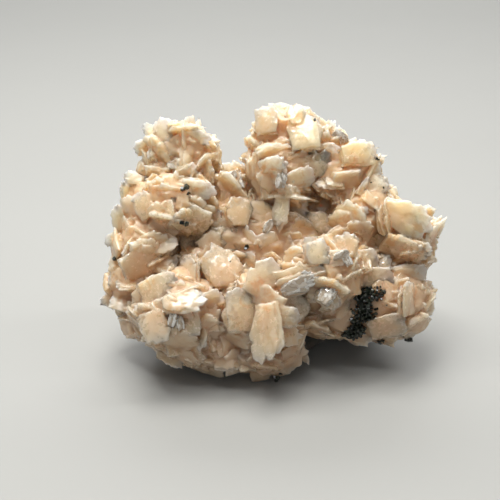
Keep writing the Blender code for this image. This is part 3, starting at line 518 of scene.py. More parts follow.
def scattered_tablets(rng):
    """Crystals all over each lump: small between the placed ones, larger at the sides and behind."""
    found = []
    for lump in LUMPS:
        for out in spiral(int(area_of(lump) / AREA_PER_CRYSTAL), rng, 0.4):
            point = centre_of(lump) + radii_times(lump, out)
            normal = in_radii(lump, out).normalized()
            edge_on = abs(normal.dot(TOWARD)) < EDGE_ON
            tilt = math.radians(rng.uniform(*(EDGE_TILTS if edge_on else TILTS)))
            tangent = normal.orthogonal().normalized()
            tangent.rotate(Matrix.Rotation(rng.uniform(0, 2 * math.pi), 3, normal))
            along = normal * math.cos(tilt) + tangent * math.sin(tilt)
            facing = Vector((rng.gauss(0, 1), rng.gauss(0, 1), rng.gauss(0, 1)))
            length = rng.uniform(SHORTEST, LONGEST)
            width = length * rng.uniform(*WIDTHS)
            thick = length * rng.uniform(*THICKS)
            if buried(point, lump) or point.z < LOWEST_CRYSTAL:
                continue
            share = 1.0
            if seen_from_front(point, normal):
                if crowded(point):
                    continue
                share = FRONT_SHARE
            matrix = tablet_matrix(along, facing, point, share * width, share * thick, share * length)
            found.append(Tablet("small", matrix))
    return found


def fill_tablets(rng, fill):
    """Crystals all over each lump that overlap like shingles, each held so deep that its tip stands out."""
    found = []
    for lump in LUMPS:
        for out in spiral(int(area_of(lump) / fill.area), rng, 0.6):
            point = centre_of(lump) + radii_times(lump, out)
            normal = in_radii(lump, out).normalized()
            upright = 1 - 0.7 * max(0.0, normal.z) ** 1.5
            tilt = math.radians(rng.uniform(*fill.tilts)) * upright
            tangent = (FALL_LINE - normal * normal.z * 0.98).normalized()
            tangent.rotate(Matrix.Rotation(rng.gauss(0, 0.9), 3, normal))
            along = normal * math.cos(tilt) + tangent * math.sin(tilt)
            facing = Vector((normal.x, normal.y, normal.z * upright))
            forward = FACE_FRONT if point.y < FRONT_HALF else FACE_BACK
            facing += Vector((rng.gauss(0, 0.25), rng.gauss(forward, 0.25), rng.gauss(0, 0.2)))
            length = rng.uniform(*fill.lengths)
            width = length * rng.uniform(*fill.widths)
            thick = length * rng.uniform(*fill.thicks)
            style = rng.choice(FILL_STYLES)
            if buried(point, lump) or point.z < LOWEST_FILL:
                continue
            if point.y <= DRUSE_FRONT and near_druse(point, FILL_CLEARING):
                continue
            sunk = 0.5 * length * math.cos(tilt) + 0.25 * thick * math.sin(tilt) - rng.uniform(*fill.stands)
            matrix = tablet_matrix(along, facing, point - normal * sunk, width, thick, length)
            found.append(Tablet(style, matrix))
    return found


def covers_one_of(shown, tablet):
    """Whether the tip of a crystal would stand in front of the face of a large one."""
    tip = tablet.matrix @ NEAR_TIP
    for large, into_large in shown:
        place = into_large @ tip
        if abs(place.x) < FACE_SIDE and FACE_FOOT < place.z < FACE_TOP:
            if 0.0 < place.y * large.matrix.col[1].to_3d().length < FACE_CLEARING:
                return True
    return False


def under_arch(tablet):
    """Whether the tip of a crystal would hang into the dark arch."""
    across, up = front_view(tablet.matrix @ VERY_TIP)
    px, py = PHOTO_MIDDLE + across / PIXEL, PHOTO_MIDDLE - up / PIXEL
    return ARCH_ACROSS[0] < px < ARCH_ACROSS[-1] and py > np.interp(px, ARCH_ACROSS, ARCH_RIM) - ARCH_MARGIN


def spot_centre(spot):
    return surface_point(spot.across, spot.up) + TOWARD * (DRUSE_PROUD - spot.radius)


# Tints


def linear(rgb):
    return tuple(((c / 255 + 0.055) / 1.055) ** 2.4 if c > 10 else c / 255 / 12.92 for c in rgb)


PALETTE = {name: np.array(linear(rgb)) for name, rgb in SRGB.items()}


def tint_at(point, rng):
    """A crystal's tint: a common one, drawn towards the one that the photo shows in its place."""
    tint = PALETTE[rng.choice(COMMON)] * COMMON_SHARE + PALETTE["cream"] * (1 - COMMON_SHARE)
    across, up = front_view(point)
    ray = point - EYE
    entry = nearest_entry(ray.normalized())
    if entry is not None and entry < ray.length - TINT_DEPTH:
        return tint
    best, weight = None, 0.0
    for name, spots in TINTS.items():
        for px, py, radius in spots:
            sx, sy = shown_at(px, py)
            distance = math.hypot(across - sx, up - sy) / (PIXEL * radius)
            if distance < TINT_REACH and math.exp(-distance * distance) > weight:
                weight = math.exp(-distance * distance)
                best = PALETTE[name]
    if best is not None:
        tint = tint * (1 - min(TINT_SHARE, weight)) + best * min(TINT_SHARE, weight)
    return tint


# A crystal's shape. It is a stack of plates, each a closed petal with a stepped rim.

RAGGED = 0.1  # how deep a rim is broken, as a share of the plate's size
RINGS = ((0.5, -0.5), (0.8, -0.42), (0.94, -0.12), (1.0, 0.14), (0.93, 0.38), (0.6, 0.5))  # scale, level
TIP_THINNING = 0.4  # how much thinner a plate is at its tip
THIN_FROM = -0.15
THIN_OVER = 0.6
LEAST_WHOLE = 0.42  # how thick a crystal is at least and at most, in shares of its shorter side
MOST_WHOLE = 0.58
NARROWING = 0.05  # how much smaller each plate is than the next nearer the widest
PLATE_WIDTHS = (0.66, 1.0)  # in shares of the crystal's
PLATE_LENGTHS = (0.74, 1.0)
PLATE_SPIN = 0.14
PLATE_DEPTHS = (1.3, 1.8)  # in shares of an even division, so that plates overlap
GLOSSES = (0.08, 0.14, 0.2, 0.26, 0.32)
STYLES = ("block", "block", "blunt", "point")


def rim_of(outline, rng):
    """A plate's rim in shares of its size: its outline with steps broken into the edges near the tip."""
    rim = OUTLINES[outline]
    points = []
    for (ax, az), (bx, bz) in zip(rim, rim[1:] + rim[:1]):
        out = 1 + rng.uniform(-RAGGED, RAGGED)
        points.append((ax * out, az * out))
        share = rng.uniform(0.3, 0.7)
        x, z = ax + (bx - ax) * share, az + (bz - az) * share
        out = 1 + rng.uniform(-RAGGED, 0.6 * RAGGED)
        points.append((x * out, z * out))
        step = 1 - rng.uniform(0.6, 2.0) * RAGGED if z > -0.1 and rng.random() < 0.6 else 1 + 0.3 * RAGGED
        x, z = x + 0.14 * (bx - ax), z + 0.14 * (bz - az)
        points.append((x * out * step, z * out * step))
    return points


def petal_faces(count):
    """Faces of a petal with this many rim points, from the lower middle round the rim to the upper."""
    faces = []
    last = (len(RINGS) - 1) * count
    for start in range(0, last, count):
        for i in range(count):
            j = (i + 1) % count
            faces.append((start + j, start + i, start + i + count, start + j + count))
    low, high = len(RINGS) * count, len(RINGS) * count + 1
    for i in range(count):
        j = (i + 1) % count
        faces.append((low, i, j))
        faces.append((high, last + j, last + i))
    return faces


class Pile:
    """Collects closed shapes for one piece, with what the material needs to know of each point."""

    def __init__(self, name):
        self.name = name
        self.points = []
        self.faces = []
        self.count = 0
        self.own = []
        self.tint = []
        self.gloss = []
        self.rise = []

    def add(self, points, faces, own, tint, gloss, rise):
        size = len(points)
        self.faces.extend(tuple(self.count + i for i in face) for face in faces)
        self.count += size
        self.points.append(points)
        self.own.append(own)
        self.tint.append(np.tile(tint, (size, 1)))
        self.gloss.append(np.full(size, gloss))
        self.rise.append(rise)


def moved(matrix, points):
    m = np.array(matrix)
    return points @ m[:3, :3].T + m[:3, 3]


def add_petal(pile, place, size, outline, rng, tint, gloss, bend):
    """One closed petal of this size, laid by a matrix that only turns and moves."""
    rim = rim_of(outline, rng)
    skew = rng.uniform(-0.15, 0.15)
    points = []
    for scale, level in RINGS:
        for x, z in rim:
            thin = 1 - TIP_THINNING * min(1.0, max(0.0, z * scale - THIN_FROM) / THIN_OVER)
            points.append((x * scale, (level + rng.uniform(-0.04, 0.04)) * thin + skew * x, z * scale))
    points.append((rng.uniform(-0.1, 0.1), -0.5 - rng.uniform(0, 0.1), rng.uniform(-0.1, 0.1)))
    points.append((rng.uniform(-0.1, 0.1), 0.5 + rng.uniform(0, 0.1), rng.uniform(-0.1, 0.1)))
    own = np.array(points)
    rise = own[:, 2] + 0.5
    bent = bend[0] * own[:, 0] ** 2 + bend[1] * own[:, 2] ** 2
    own = own * np.array(size)
    own[:, 1] += bent * 0.25 * min(size[0], size[2])
    pile.add(moved(place, own), petal_faces(len(rim)), own, tint, gloss, rise)


def add_crystal(pile, tablet, rng, tint, fan):
    """A crystal as a stack of plates that spread from one base, the way stilbite grows."""
    matrix = tablet.matrix
    width, thick, length = (matrix.col[i].to_3d().length for i in range(3))
    place = Matrix.Translation(matrix.translation) @ matrix.to_3x3().normalized().to_4x4()
    gloss = rng.choice(GLOSSES)
    bend = (rng.uniform(-0.3, 0.3), rng.uniform(-0.3, 0.3))
    shorter = min(width, length)
    whole = min(max(thick, LEAST_WHOLE * shorter), MOST_WHOLE * shorter)
    base = Matrix.Translation((0, 0, -0.5 * length))
    plates = 2 + fan
    widest = plates - 1 - rng.randrange(2)
    for i in range(plates):
        level = i / (plates - 1) - 0.5
        wide, long, spin = width, length, 0.0
        if i != widest:
            less = NARROWING * abs(i - widest)
            wide = width * (rng.uniform(*PLATE_WIDTHS) - less)
            long = length * (rng.uniform(*PLATE_LENGTHS) - less)
            spin = rng.gauss(0, PLATE_SPIN)
        deep = whole * rng.uniform(*PLATE_DEPTHS) / plates
        aside = rng.uniform(-0.2, 0.2) * (width - wide)
        slide = Matrix.Translation((aside, level * 0.8 * whole, 0.5 * long))
        turn = Matrix.Rotation(spin, 4, "Y") @ Matrix.Rotation(rng.gauss(0, 0.04) + 0.1 * level, 4, "X")
        lean = Matrix.Rotation(rng.gauss(0, 0.07), 4, "Z")
        outline = tablet.outline if i == widest else rng.choice(STYLES)
        shade = tint * rng.uniform(0.95, 1.06)
        add_petal(pile, place @ base @ turn @ lean @ slide, (wide, deep, long), outline, rng, shade,
                  gloss + rng.uniform(-0.05, 0.1), bend)


def ball(subdivisions):
    bm = bmesh.new()
    bmesh.ops.create_icosphere(bm, subdivisions=subdivisions, radius=1.0)
    points = [v.co.copy() for v in bm.verts]
    faces = [tuple(v.index for v in f.verts) for f in bm.faces]
    bm.free()
    return points, faces


LUMP_BALL = ball(4)
DRUSE_BALL = ball(2)


def hashed(cells, salt):
    """Evenly spread numbers from 0 to 1 for whole-number cells."""
    a = cells[:, 0] * 73856093 ^ cells[:, 1] * 19349663 ^ cells[:, 2] * 83492791 ^ salt * 2654435761
    a = (a ^ (a >> 13)) * 1274126177 & 0xFFFFFFFF
    a = (a ^ (a >> 16)) * 2246822519 & 0xFFFFFFFF
    return ((a ^ (a >> 15)) & 0xFFFFFF) / 0xFFFFFF


def facets(points, steep):
    """Heights of a surface broken into tilted facets, one to each cell of a cell size of one."""
    home = np.floor(points).astype(np.int64)
    nearest = np.full(len(points), 1e9)
    height = np.zeros(len(points))
    for step in np.ndindex(3, 3, 3):
        cells = home + np.array(step) - 1
        offset = points - cells - np.stack([hashed(cells, salt) for salt in (1, 2, 3)], axis=1)
        distance = (offset * offset).sum(axis=1)
        closer = distance < nearest
        tilt = np.stack([hashed(cells[closer], salt) - 0.5 for salt in (4, 5, 6)], axis=1)
        height[closer] = steep * (offset[closer] * tilt).sum(axis=1) + (hashed(cells[closer], 7) - 0.5)
        nearest[closer] = distance[closer]
    return height


def add_lump_to(pile, lump):
    """A lump that the crystals grow from, broken into facets."""
    centre = centre_of(lump)
    outs, faces = LUMP_BALL
    points = []
    for out in outs:
        uneven = 1 + LUMP_ROUGHNESS * noise.noise(out * ROUGHNESS_PITCH + centre * ROUGHNESS_SHIFT)
        points.append(tuple(centre + radii_times(lump, out) * uneven))
    points = np.array(points)
    relief = LUMP_RELIEF * facets(points / LUMP_FACET, LUMP_STEEPNESS) + LUMP_SWELL
    points = points + np.array([tuple(out) for out in outs]) * relief[:, None]
    rise = np.full(len(points), 0.3)
    pile.add(points, faces, points - np.array(centre), PALETTE["tan"], 0.4, rise)


# From shapes to meshes


def linked(name, mesh):
    obj = bpy.data.objects.new(name, mesh)
    bpy.context.scene.collection.objects.link(obj)
    return obj


def changed(obj):
    """The mesh of an object after its modifiers, which it then loses."""
    graph = bpy.context.evaluated_depsgraph_get()
    mesh = bpy.data.meshes.new_from_object(obj.evaluated_get(graph))
    obj.modifiers.clear()
    obj.data = mesh
    return mesh


def read_vectors(data, key):
    values = np.zeros(len(data) * 3)
    data.foreach_get(key, values)
    return values.reshape(-1, 3)


def add_values(mesh, name, values):
    mesh.attributes.new(name, "FLOAT", "POINT").data.foreach_set("value", values.astype(np.float32))


def grown_together(pile, voxel):
    """One closed mesh from all the shapes of a pile, with their attributes carried over."""
    mesh = bpy.data.meshes.new(pile.name)
    mesh.from_pydata(np.concatenate(pile.points).tolist(), [], pile.faces)
    own = np.concatenate(pile.own).astype(np.float32)
    mesh.attributes.new("own", "FLOAT_VECTOR", "POINT").data.foreach_set("vector", own.ravel())
    tints = np.concatenate(pile.tint)
    rgba = np.concatenate([tints, np.ones((len(tints), 1))], axis=1).astype(np.float32)
    mesh.attributes.new("tint", "FLOAT_COLOR", "POINT").data.foreach_set("color", rgba.ravel())
    add_values(mesh, "gloss", np.concatenate(pile.gloss))
    add_values(mesh, "rise", np.concatenate(pile.rise))
    obj = linked(pile.name, mesh)
    bpy.context.view_layer.objects.active = obj
    mesh.remesh_voxel_size = voxel
    mesh.remesh_voxel_adaptivity = 0.0
    mesh.use_remesh_preserve_attributes = True
    bpy.ops.object.voxel_remesh()
    return obj


def proud(points):
    """How far points stand out from the lumps, in millimetres."""
    out = np.full(len(points), 1e9)
    for lump in LUMPS:
        offset = points - np.array(centre_of(lump))
        shares = np.linalg.norm(offset / np.array((lump.rx, lump.ry, lump.rz)), axis=1)
        distance = np.linalg.norm(offset, axis=1)
        out = np.minimum(out, distance * (1 - 1 / np.maximum(shares, 1e-3)))
    return out


def rusty(points):
    """How near points are to the dark crystals, whose iron stains the stone: from 0 to 1."""
    near = np.zeros(len(points))
    for spot in DRUSE:
        distance = np.linalg.norm(points - np.array(spot_centre(spot)), axis=1)
        near = np.maximum(near, np.exp(-(distance / (spot.radius + RUST_REACH)) ** 2))
    return near


def break_surface(mesh):
    """Works ledges and small facets into a piece, along its crystals."""
    points = read_vectors(mesh.vertices, "co")
    normals = read_vectors(mesh.vertices, "normal")
    own = read_vectors(mesh.attributes["own"].data, "vector")
    ledges = LEDGE_RELIEF * facets(own / LEDGE, LEDGE_STEEPNESS)
    relief = ledges + CHIP_RELIEF * facets(points / CHIP, CHIP_STEEPNESS)
    points = points + normals * (relief - SURFACE_LOSS)[:, None]
    mesh.vertices.foreach_set("co", points.ravel())
    mesh.update()


def dress(obj):
    """Stores how far each point stands out and how rusty it is, and moves the mesh into place."""
    mesh = obj.data
    points = read_vectors(mesh.vertices, "co")
    add_values(mesh, "proud", proud(points))
    add_values(mesh, "rust", rusty(points))
    mesh.transform(TO_WORLD)
    mesh.shade_smooth()


def plain_dress(obj, angle):
    """Moves the mesh into place, with edges sharper than the angle left sharp."""
    mesh = obj.data
    mesh.transform(TO_WORLD)
    mesh.shade_smooth()
    mesh.set_sharp_from_angle(angle=math.radians(angle))


def union_of(name, shapes):
    """One closed mesh from shapes of points and faces, their edges kept sharp."""
    folder = bpy.data.collections.new(name)
    bpy.context.scene.collection.children.link(folder)
    objects = []
    for points, faces in shapes:
        mesh = bpy.data.meshes.new("shape")
        mesh.from_pydata([tuple(p) for p in points], [], faces)
        objects.append(bpy.data.objects.new("shape", mesh))
        folder.objects.link(objects[-1])
    base = objects[0]
    folder.objects.unlink(base)
    bpy.context.scene.collection.objects.link(base)
    modifier = base.modifiers.new("union", "BOOLEAN")
    modifier.operation = "UNION"
    modifier.solver = "MANIFOLD"
    modifier.operand_type = "COLLECTION"
    modifier.collection = folder
    graph = bpy.context.evaluated_depsgraph_get()
    mesh = bpy.data.meshes.new_from_object(base.evaluated_get(graph))
    for shape in objects:
        old = shape.data
        bpy.data.objects.remove(shape)
        bpy.data.meshes.remove(old)
    bpy.data.collections.remove(folder)
    mesh.name = name
    return linked(name, mesh)


# Pieces


def group_of(x):
    return sum(x > edge for edge in GROUPS)


def make_stilbite():
    """The crystals, grown together in pieces from left to right."""
    rng = random.Random(SEED)
    large = placed_tablets(rng)
    medium = scattered_tablets(rng)
    rng = random.Random(SCENE_SEED)
    fill = [tablet for kind in FILLS for tablet in fill_tablets(rng, kind)]
    shown = [(t, t.matrix.inverted()) for t in large]
    medium = [t for t in medium if not covers_one_of(shown, t)]
    fill = [t for t in fill if not covers_one_of(shown, t) and not under_arch(t)]
    piles = [Pile(f"stilbite_{i + 1}") for i in range(len(GROUPS) + 1)]
    for lump in LUMPS:
        add_lump_to(piles[group_of(lump.x)], lump)
    for tablets, fan in ((large, 2), (medium, 1), (fill, 1)):
        for tablet in tablets:
            middle = tablet.matrix.translation
            add_crystal(piles[group_of(middle.x)], tablet, rng, tint_at(middle, rng), fan + rng.randrange(2))
    made = []
    for pile in piles:
        obj = grown_together(pile, VOXEL)
        break_surface(obj.data)
        obj.modifiers.new("simpler", "DECIMATE").ratio = KEEP
        changed(obj)
        dress(obj)
        made.append(obj)
    return made


def make_clear():
    """The few glassy crystals."""
    rng = random.Random(SCENE_SEED + 3)
    pile = Pile("clear_crystals")
    for px, py, *rest in CLEAR:
        c = Crystal(*shown_at(px, py), *rest)
        matrix = shown_matrix(c, math.radians(c.lift), math.radians(c.roll), c.thick)
        add_crystal(pile, Tablet(c.outline, matrix), rng, PALETTE["white"], 1)
    obj = grown_together(pile, CLEAR_VOXEL)
    dress(obj)
    return obj


def prism_points(centre, along, width, length, taper, rng):
    across = along.orthogonal().normalized()
    across.rotate(Matrix.Rotation(rng.uniform(0, math.pi), 3, along))
    third = along.cross(across)
    points = []
    for end, share in ((-0.5, 1.0), (0.38, 1.0), (0.5, taper)):
        for a, b in ((-1, -1), (1, -1), (1, 1), (-1, 1)):
            points.append(centre + along * (length * end)
                          + (across * a + third * b * rng.uniform(0.75, 1.0)) * (0.5 * width * share))
    return points


PRISM_FACES = [(3, 2, 1, 0), (8, 9, 10, 11)] + [
    (r + i, r + (i + 1) % 4, r + 4 + (i + 1) % 4, r + 4 + i) for r in (0, 4) for i in range(4)
]


def make_druse():
    """The dark patch: balls that bristle with small dark prisms."""
    rng = random.Random(SCENE_SEED + 1)
    shapes = []
    points, faces = DRUSE_BALL
    for spot in DRUSE:
        centre = spot_centre(spot)
        shapes.append(([centre + p * (spot.radius * 0.98) for p in points], faces))
        for i in range(int(spot.radius * PRISMS_PER_RADIUS)):
            lean = PRISM_SPREAD * math.sqrt((i + 0.5) / (spot.radius * PRISMS_PER_RADIUS))
            around = i * GOLDEN_TURN
            side = RIGHTWARD * math.cos(around) + UPWARD * math.sin(around)
            out = TOWARD * math.cos(lean) + side * math.sin(lean)
            along = (out + Vector([rng.uniform(-0.6, 0.6) for _ in range(3)])).normalized()
            width = rng.uniform(0.7, 1.5)
            middle = centre + out * (spot.radius + rng.uniform(0.3, 1.5))
            length = rng.uniform(1.6, 3.0)
            shapes.append((prism_points(middle, along, width, length, 0.55, rng), PRISM_FACES))
    obj = union_of("dark_crystal_grains", shapes)
    plain_dress(obj, 20)
    return obj


def hull(points):
    bm = bmesh.new()
    made = bmesh.ops.convex_hull(bm, input=[bm.verts.new(p) for p in points])
    bmesh.ops.delete(bm, geom=made["geom_interior"], context="VERTS")
    bm.verts.index_update()
    corners = [tuple(v.co) for v in bm.verts]
    faces = [tuple(v.index for v in f.verts) for f in bm.faces]
    bm.free()
    return corners, faces


def make_rock():
    """The basalt in finer detail: the broken lumps with a rough, chipped surface, flat underneath."""
    rng = random.Random(SEED)
    shapes = []
    for lump in BASALT:
        centre = centre_of(lump)
        shapes.append(hull([centre + radii_times(lump, out) * rng.uniform(*ROCK_REACH)
                            for out in spiral(ROCK_CORNERS, rng, 0.5)]))
    obj = union_of("basalt_rock", shapes)
    remesh = obj.modifiers.new("grain", "REMESH")
    remesh.mode = "VOXEL"
    remesh.voxel_size = ROCK_VOXEL
    mesh = changed(obj)
    normals = [v.normal.copy() for v in mesh.vertices]
    for vert, normal in zip(mesh.vertices, normals):
        p = vert.co
        chips = sum(noise.noise(p * pitch) * depth for pitch, depth in ROCK_CHIPS)
        vert.co = p + normal * (chips * ROCK_RELIEF - ROCK_LOSS)
        vert.co.z = max(vert.co.z, 0.0)
    plain_dress(obj, 60)
    return obj


def front_hit(trees, px, py):
    """Where the stilbite lies behind a pixel of the photo, or None beside it."""
    start = TO_WORLD @ EYE
    toward = (TO_WORLD @ (EYE + ray_through(*shown_at(px, py))) - start).normalized()
    hits = [hit for hit in (tree.ray_cast(start, toward) for tree in trees) if hit[0] is not None]
    return TO_WORLD.inverted() @ min(hits, key=lambda hit: hit[3])[0] if hits else None


def make_specks(crystals):
    """Single dark grains on the stilbite."""
    rng = random.Random(SCENE_SEED + 2)
    bpy.context.view_layer.update()
    trees = [BVHTree.FromPolygons([v.co.copy() for v in piece.data.vertices],
                                  [tuple(p.vertices) for p in piece.data.polygons]) for piece in crystals]
    shapes = []
    for px, py, size, count in SPECKS:
        place = front_hit(trees, px, py)
        if place is None:
            continue
        for _ in range(count):
            centre = place + Vector([rng.uniform(-0.8, 0.8) * size for _ in range(3)])
            along = Vector([rng.gauss(0, 1) for _ in range(3)]).normalized()
            width = size * rng.uniform(0.7, 1.1)
            length = size * rng.uniform(1.0, 1.7)
            shapes.append((prism_points(centre, along, width, length, 0.5, rng), PRISM_FACES))
    obj = union_of("dark_specks", shapes)
    plain_dress(obj, 20)
    return obj


# Materials


class Nodes:
    """Short forms for building a node tree."""

    def __init__(self, owner, surface):
        owner.use_nodes = True
        self.owner = owner
        self.tree = owner.node_tree
        self.surface = self.tree.nodes[surface]

    def put(self, target, value):
        if isinstance(value, bpy.types.NodeSocket):
            self.tree.links.new(value, target)
        elif isinstance(value, tuple) and target.type == "RGBA":
            target.default_value = (*value, 1.0)
        else:
            target.default_value = value

    def node(self, kind, output, inputs, **settings):
        """Adds a node, fills its inputs, and gives one of its outputs."""
        made = self.tree.nodes.new(kind)
        for key, value in settings.items():
            setattr(made, key, value)
        for key, value in inputs.items():
            self.put(made.inputs[key], value)
        return made.outputs[output]

    def attribute(self, name, kind="Fac"):
        return self.node("ShaderNodeAttribute", kind, {}, attribute_name=name)

    def position(self):
        return self.node("ShaderNodeTexCoord", "Object", {})

    def scaled(self, vector, scale):
        return self.node("ShaderNodeVectorMath", 0, {0: vector, 1: scale}, operation="MULTIPLY")

    def noise(self, vector, scale, detail=3.0, roughness=0.55, distortion=0.0):
        return self.node("ShaderNodeTexNoise", "Fac", {
            "Vector": vector, "Scale": scale, "Detail": detail, "Roughness": roughness,
            "Distortion": distortion})

    def math(self, operation, a, b, clamp=False):
        return self.node("ShaderNodeMath", 0, {0: a, 1: b}, operation=operation, use_clamp=clamp)

    def remap(self, value, low, high, to_low=0.0, to_high=1.0, kind="SMOOTHSTEP"):
        return self.node("ShaderNodeMapRange", "Result", {
            "Value": value, "From Min": low, "From Max": high, "To Min": to_low, "To Max": to_high},
            interpolation_type=kind)

    def mix(self, share, a, b):
        return self.node("ShaderNodeMix", "Result", {"Factor": share, "A": a, "B": b}, data_type="RGBA")

    def bump(self, height, distance, strength, **under):
        return self.node("ShaderNodeBump", "Normal", {
            "Height": height, "Distance": distance, "Strength": strength, **under})

    def set(self, **values):
        for key, value in values.items():
            self.put(self.surface.inputs[key.replace("_", " ")], value)


def material_nodes(name):
    return Nodes(bpy.data.materials.new(name), "Principled BSDF")


# What the stilbite's own tints are mixed with, and the painted shade of its recesses, hollows and foot.
CLEARER = (0.70, 0.50, 0.32)
CLOUDY = (0.88, 0.77, 0.58)
STREAK = (0.64, 0.44, 0.27)
TIP = (0.84, 0.76, 0.60)
WARM_BASE_AND_RECESS_SHADE = (0.78, 0.55, 0.32)
IRON_STAIN = (0.74, 0.36, 0.12)
RUST = (0.62, 0.28, 0.09)
HOLLOW_SHADE = (0.62, 0.38, 0.18)
FOOT_SHADE = (0.56, 0.37, 0.24)


def stilbite_material():
    n = material_nodes("stilbite")
    place = n.position()
    own = n.attribute("own", "Vector")
    gloss = n.attribute("gloss")
    stands = n.attribute("proud")
    rise = n.attribute("rise")
    open_air = n.node("ShaderNodeAmbientOcclusion", "AO", {"Distance": 0.014}, samples=6)
    broad = n.noise(place, 90.0, 3.0)
    fine = n.noise(place, 420.0, 4.0, 0.6)
    streaks = n.noise(n.scaled(own, (1.0, 1.6, 0.2)), 0.9, 3.0, 0.6)
    patches = n.noise(place, 190.0, 4.0, 0.6, 1.0)
    # Clearer and cloudier patches, and fine streaks along each blade.
    colour = n.mix(n.remap(patches, 0.4, 0.62, 0.0, 0.5), n.attribute("tint", "Color"), CLEARER)
    colour = n.mix(n.remap(fine, 0.4, 0.7, 0.0, 0.4), colour, CLOUDY)
    colour = n.mix(n.remap(streaks, 0.4, 0.75, 0.0, 0.25), colour, STREAK)
    # Tips are pale, and the crystals are warmer down to where they grow from. Where they stand little out
    # from the lumps, down in the recesses, the warmth is painted shade.
    colour = n.mix(n.remap(rise, 0.6, 1.0, 0.0, 0.5), colour, TIP)
    low = n.math("MAXIMUM", n.remap(rise, 0.15, 0.85, 1.0, 0.0), n.remap(stands, 0.0, 3.5, 1.0, 0.0))
    colour = n.mix(n.math("MULTIPLY", low, 0.45), colour, WARM_BASE_AND_RECESS_SHADE)
    # Iron stain, in patches and round the dark crystals.
    stain = n.math("MULTIPLY", n.remap(broad, 0.46, 0.62), n.remap(patches, 0.45, 0.62))
    colour = n.mix(n.math("MULTIPLY", stain, 0.7), colour, IRON_STAIN)
    rust = n.math("MULTIPLY", n.attribute("rust"), n.remap(fine, 0.35, 0.6, 0.3, 1.0))
    colour = n.mix(rust, colour, RUST)
    # Hollows are painted a deep orange-brown shade, the stronger the more closed in a point is.
    deep = n.remap(open_air, 0.2, 0.9, 1.0, 0.0)
    colour = n.mix(n.math("MULTIPLY", deep, 0.7), colour, HOLLOW_SHADE)
    # The foot of the cluster is painted darker, as shade where less of the light from above falls.
    height = n.node("ShaderNodeSeparateXYZ", "Z", {0: place})
    n.set(Base_Color=n.mix(n.remap(height, 0.0, 0.09, 0.75, 0.0), colour, FOOT_SHADE))
    n.set(Roughness=n.math("ADD", gloss, n.remap(fine, 0.3, 0.7, -0.04, 0.1), clamp=True), IOR=1.5)
    n.set(Subsurface_Weight=1.0, Subsurface_Scale=0.012, Subsurface_Radius=(1.0, 0.94, 0.86))
    n.set(Transmission_Weight=0.15, Coat_Weight=0.35, Coat_Roughness=0.05)
    relief = n.math("ADD", n.math("MULTIPLY", streaks, 0.4), n.math("MULTIPLY", fine, 0.6))
    rough = n.bump(relief, 0.0005, 0.4)
    n.set(Normal=n.bump(n.noise(place, 230.0, 2.0, 0.5), 0.0012, 0.2, Normal=rough))
    return n.owner


def clear_material():
    n = material_nodes("clear_stilbite")
    own = n.attribute("own", "Vector")
    lines = n.noise(n.scaled(own, (0.8, 0.8, 0.05)), 1.2, 3.0, 0.7)
    waves = n.noise(n.scaled(own, (0.5, 0.5, 0.35)), 1.0, 3.0, 0.6, 1.5)
    n.set(Base_Color=n.mix(n.remap(lines, 0.44, 0.56), (0.55, 0.45, 0.33), (0.98, 0.95, 0.88)))
    n.set(Roughness=n.remap(waves, 0.3, 0.7, 0.02, 0.1))
    n.set(IOR=1.5, Transmission_Weight=0.15, Coat_Weight=1.0, Coat_Roughness=0.02)
    n.set(Normal=n.bump(waves, 0.003, 0.8, Normal=n.bump(lines, 0.0009, 0.9)))
    return n.owner


def rock_material():
    n = material_nodes("basalt")
    place = n.position()
    grain = n.noise(place, 900.0, 5.0, 0.65)
    patch = n.noise(place, 70.0, 4.0, 0.6)
    colour = n.mix(n.remap(patch, 0.35, 0.68), (0.018, 0.018, 0.016), (0.055, 0.050, 0.040))
    colour = n.mix(n.remap(grain, 0.58, 0.74, 0.0, 0.5), colour, (0.14, 0.13, 0.11))
    rust = n.noise(place, 38.0, 4.0, 0.6)
    n.set(Base_Color=n.mix(n.remap(rust, 0.58, 0.72, 0.0, 0.45), colour, (0.12, 0.055, 0.025)))
    n.set(Roughness=n.remap(grain, 0.3, 0.7, 0.72, 0.95))
    n.set(Normal=n.bump(n.math("ADD", grain, patch), 0.0007, 0.8))
    return n.owner


def dark_material():
    n = material_nodes("dark_crystals")
    patch = n.noise(n.position(), 500.0, 2.0)
    n.set(Base_Color=n.mix(n.remap(patch, 0.45, 0.7), (0.006, 0.008, 0.005), (0.035, 0.045, 0.028)))
    n.set(Roughness=n.remap(patch, 0.3, 0.7, 0.12, 0.4), IOR=1.65)
    return n.owner


def floor_material():
    n = material_nodes("floor")
    cloud = n.noise(n.position(), 6.0, 2.0)
    n.set(Base_Color=n.mix(cloud, (0.285, 0.285, 0.27), (0.295, 0.295, 0.28)), Roughness=0.6)
    return n.owner


def paint(obj, material):
    obj.data.materials.clear()
    obj.data.materials.append(material)


# The stage, in metres

FLOOR_SIDE = 6.0
FLOOR_DEPTH = 0.02
BOX_FACES = [(3, 2, 1, 0), (4, 5, 6, 7), (0, 1, 5, 4), (1, 2, 6, 5), (2, 3, 7, 6), (3, 0, 4, 7)]
MIDDLE = (0.0, 0.0, 0.05)

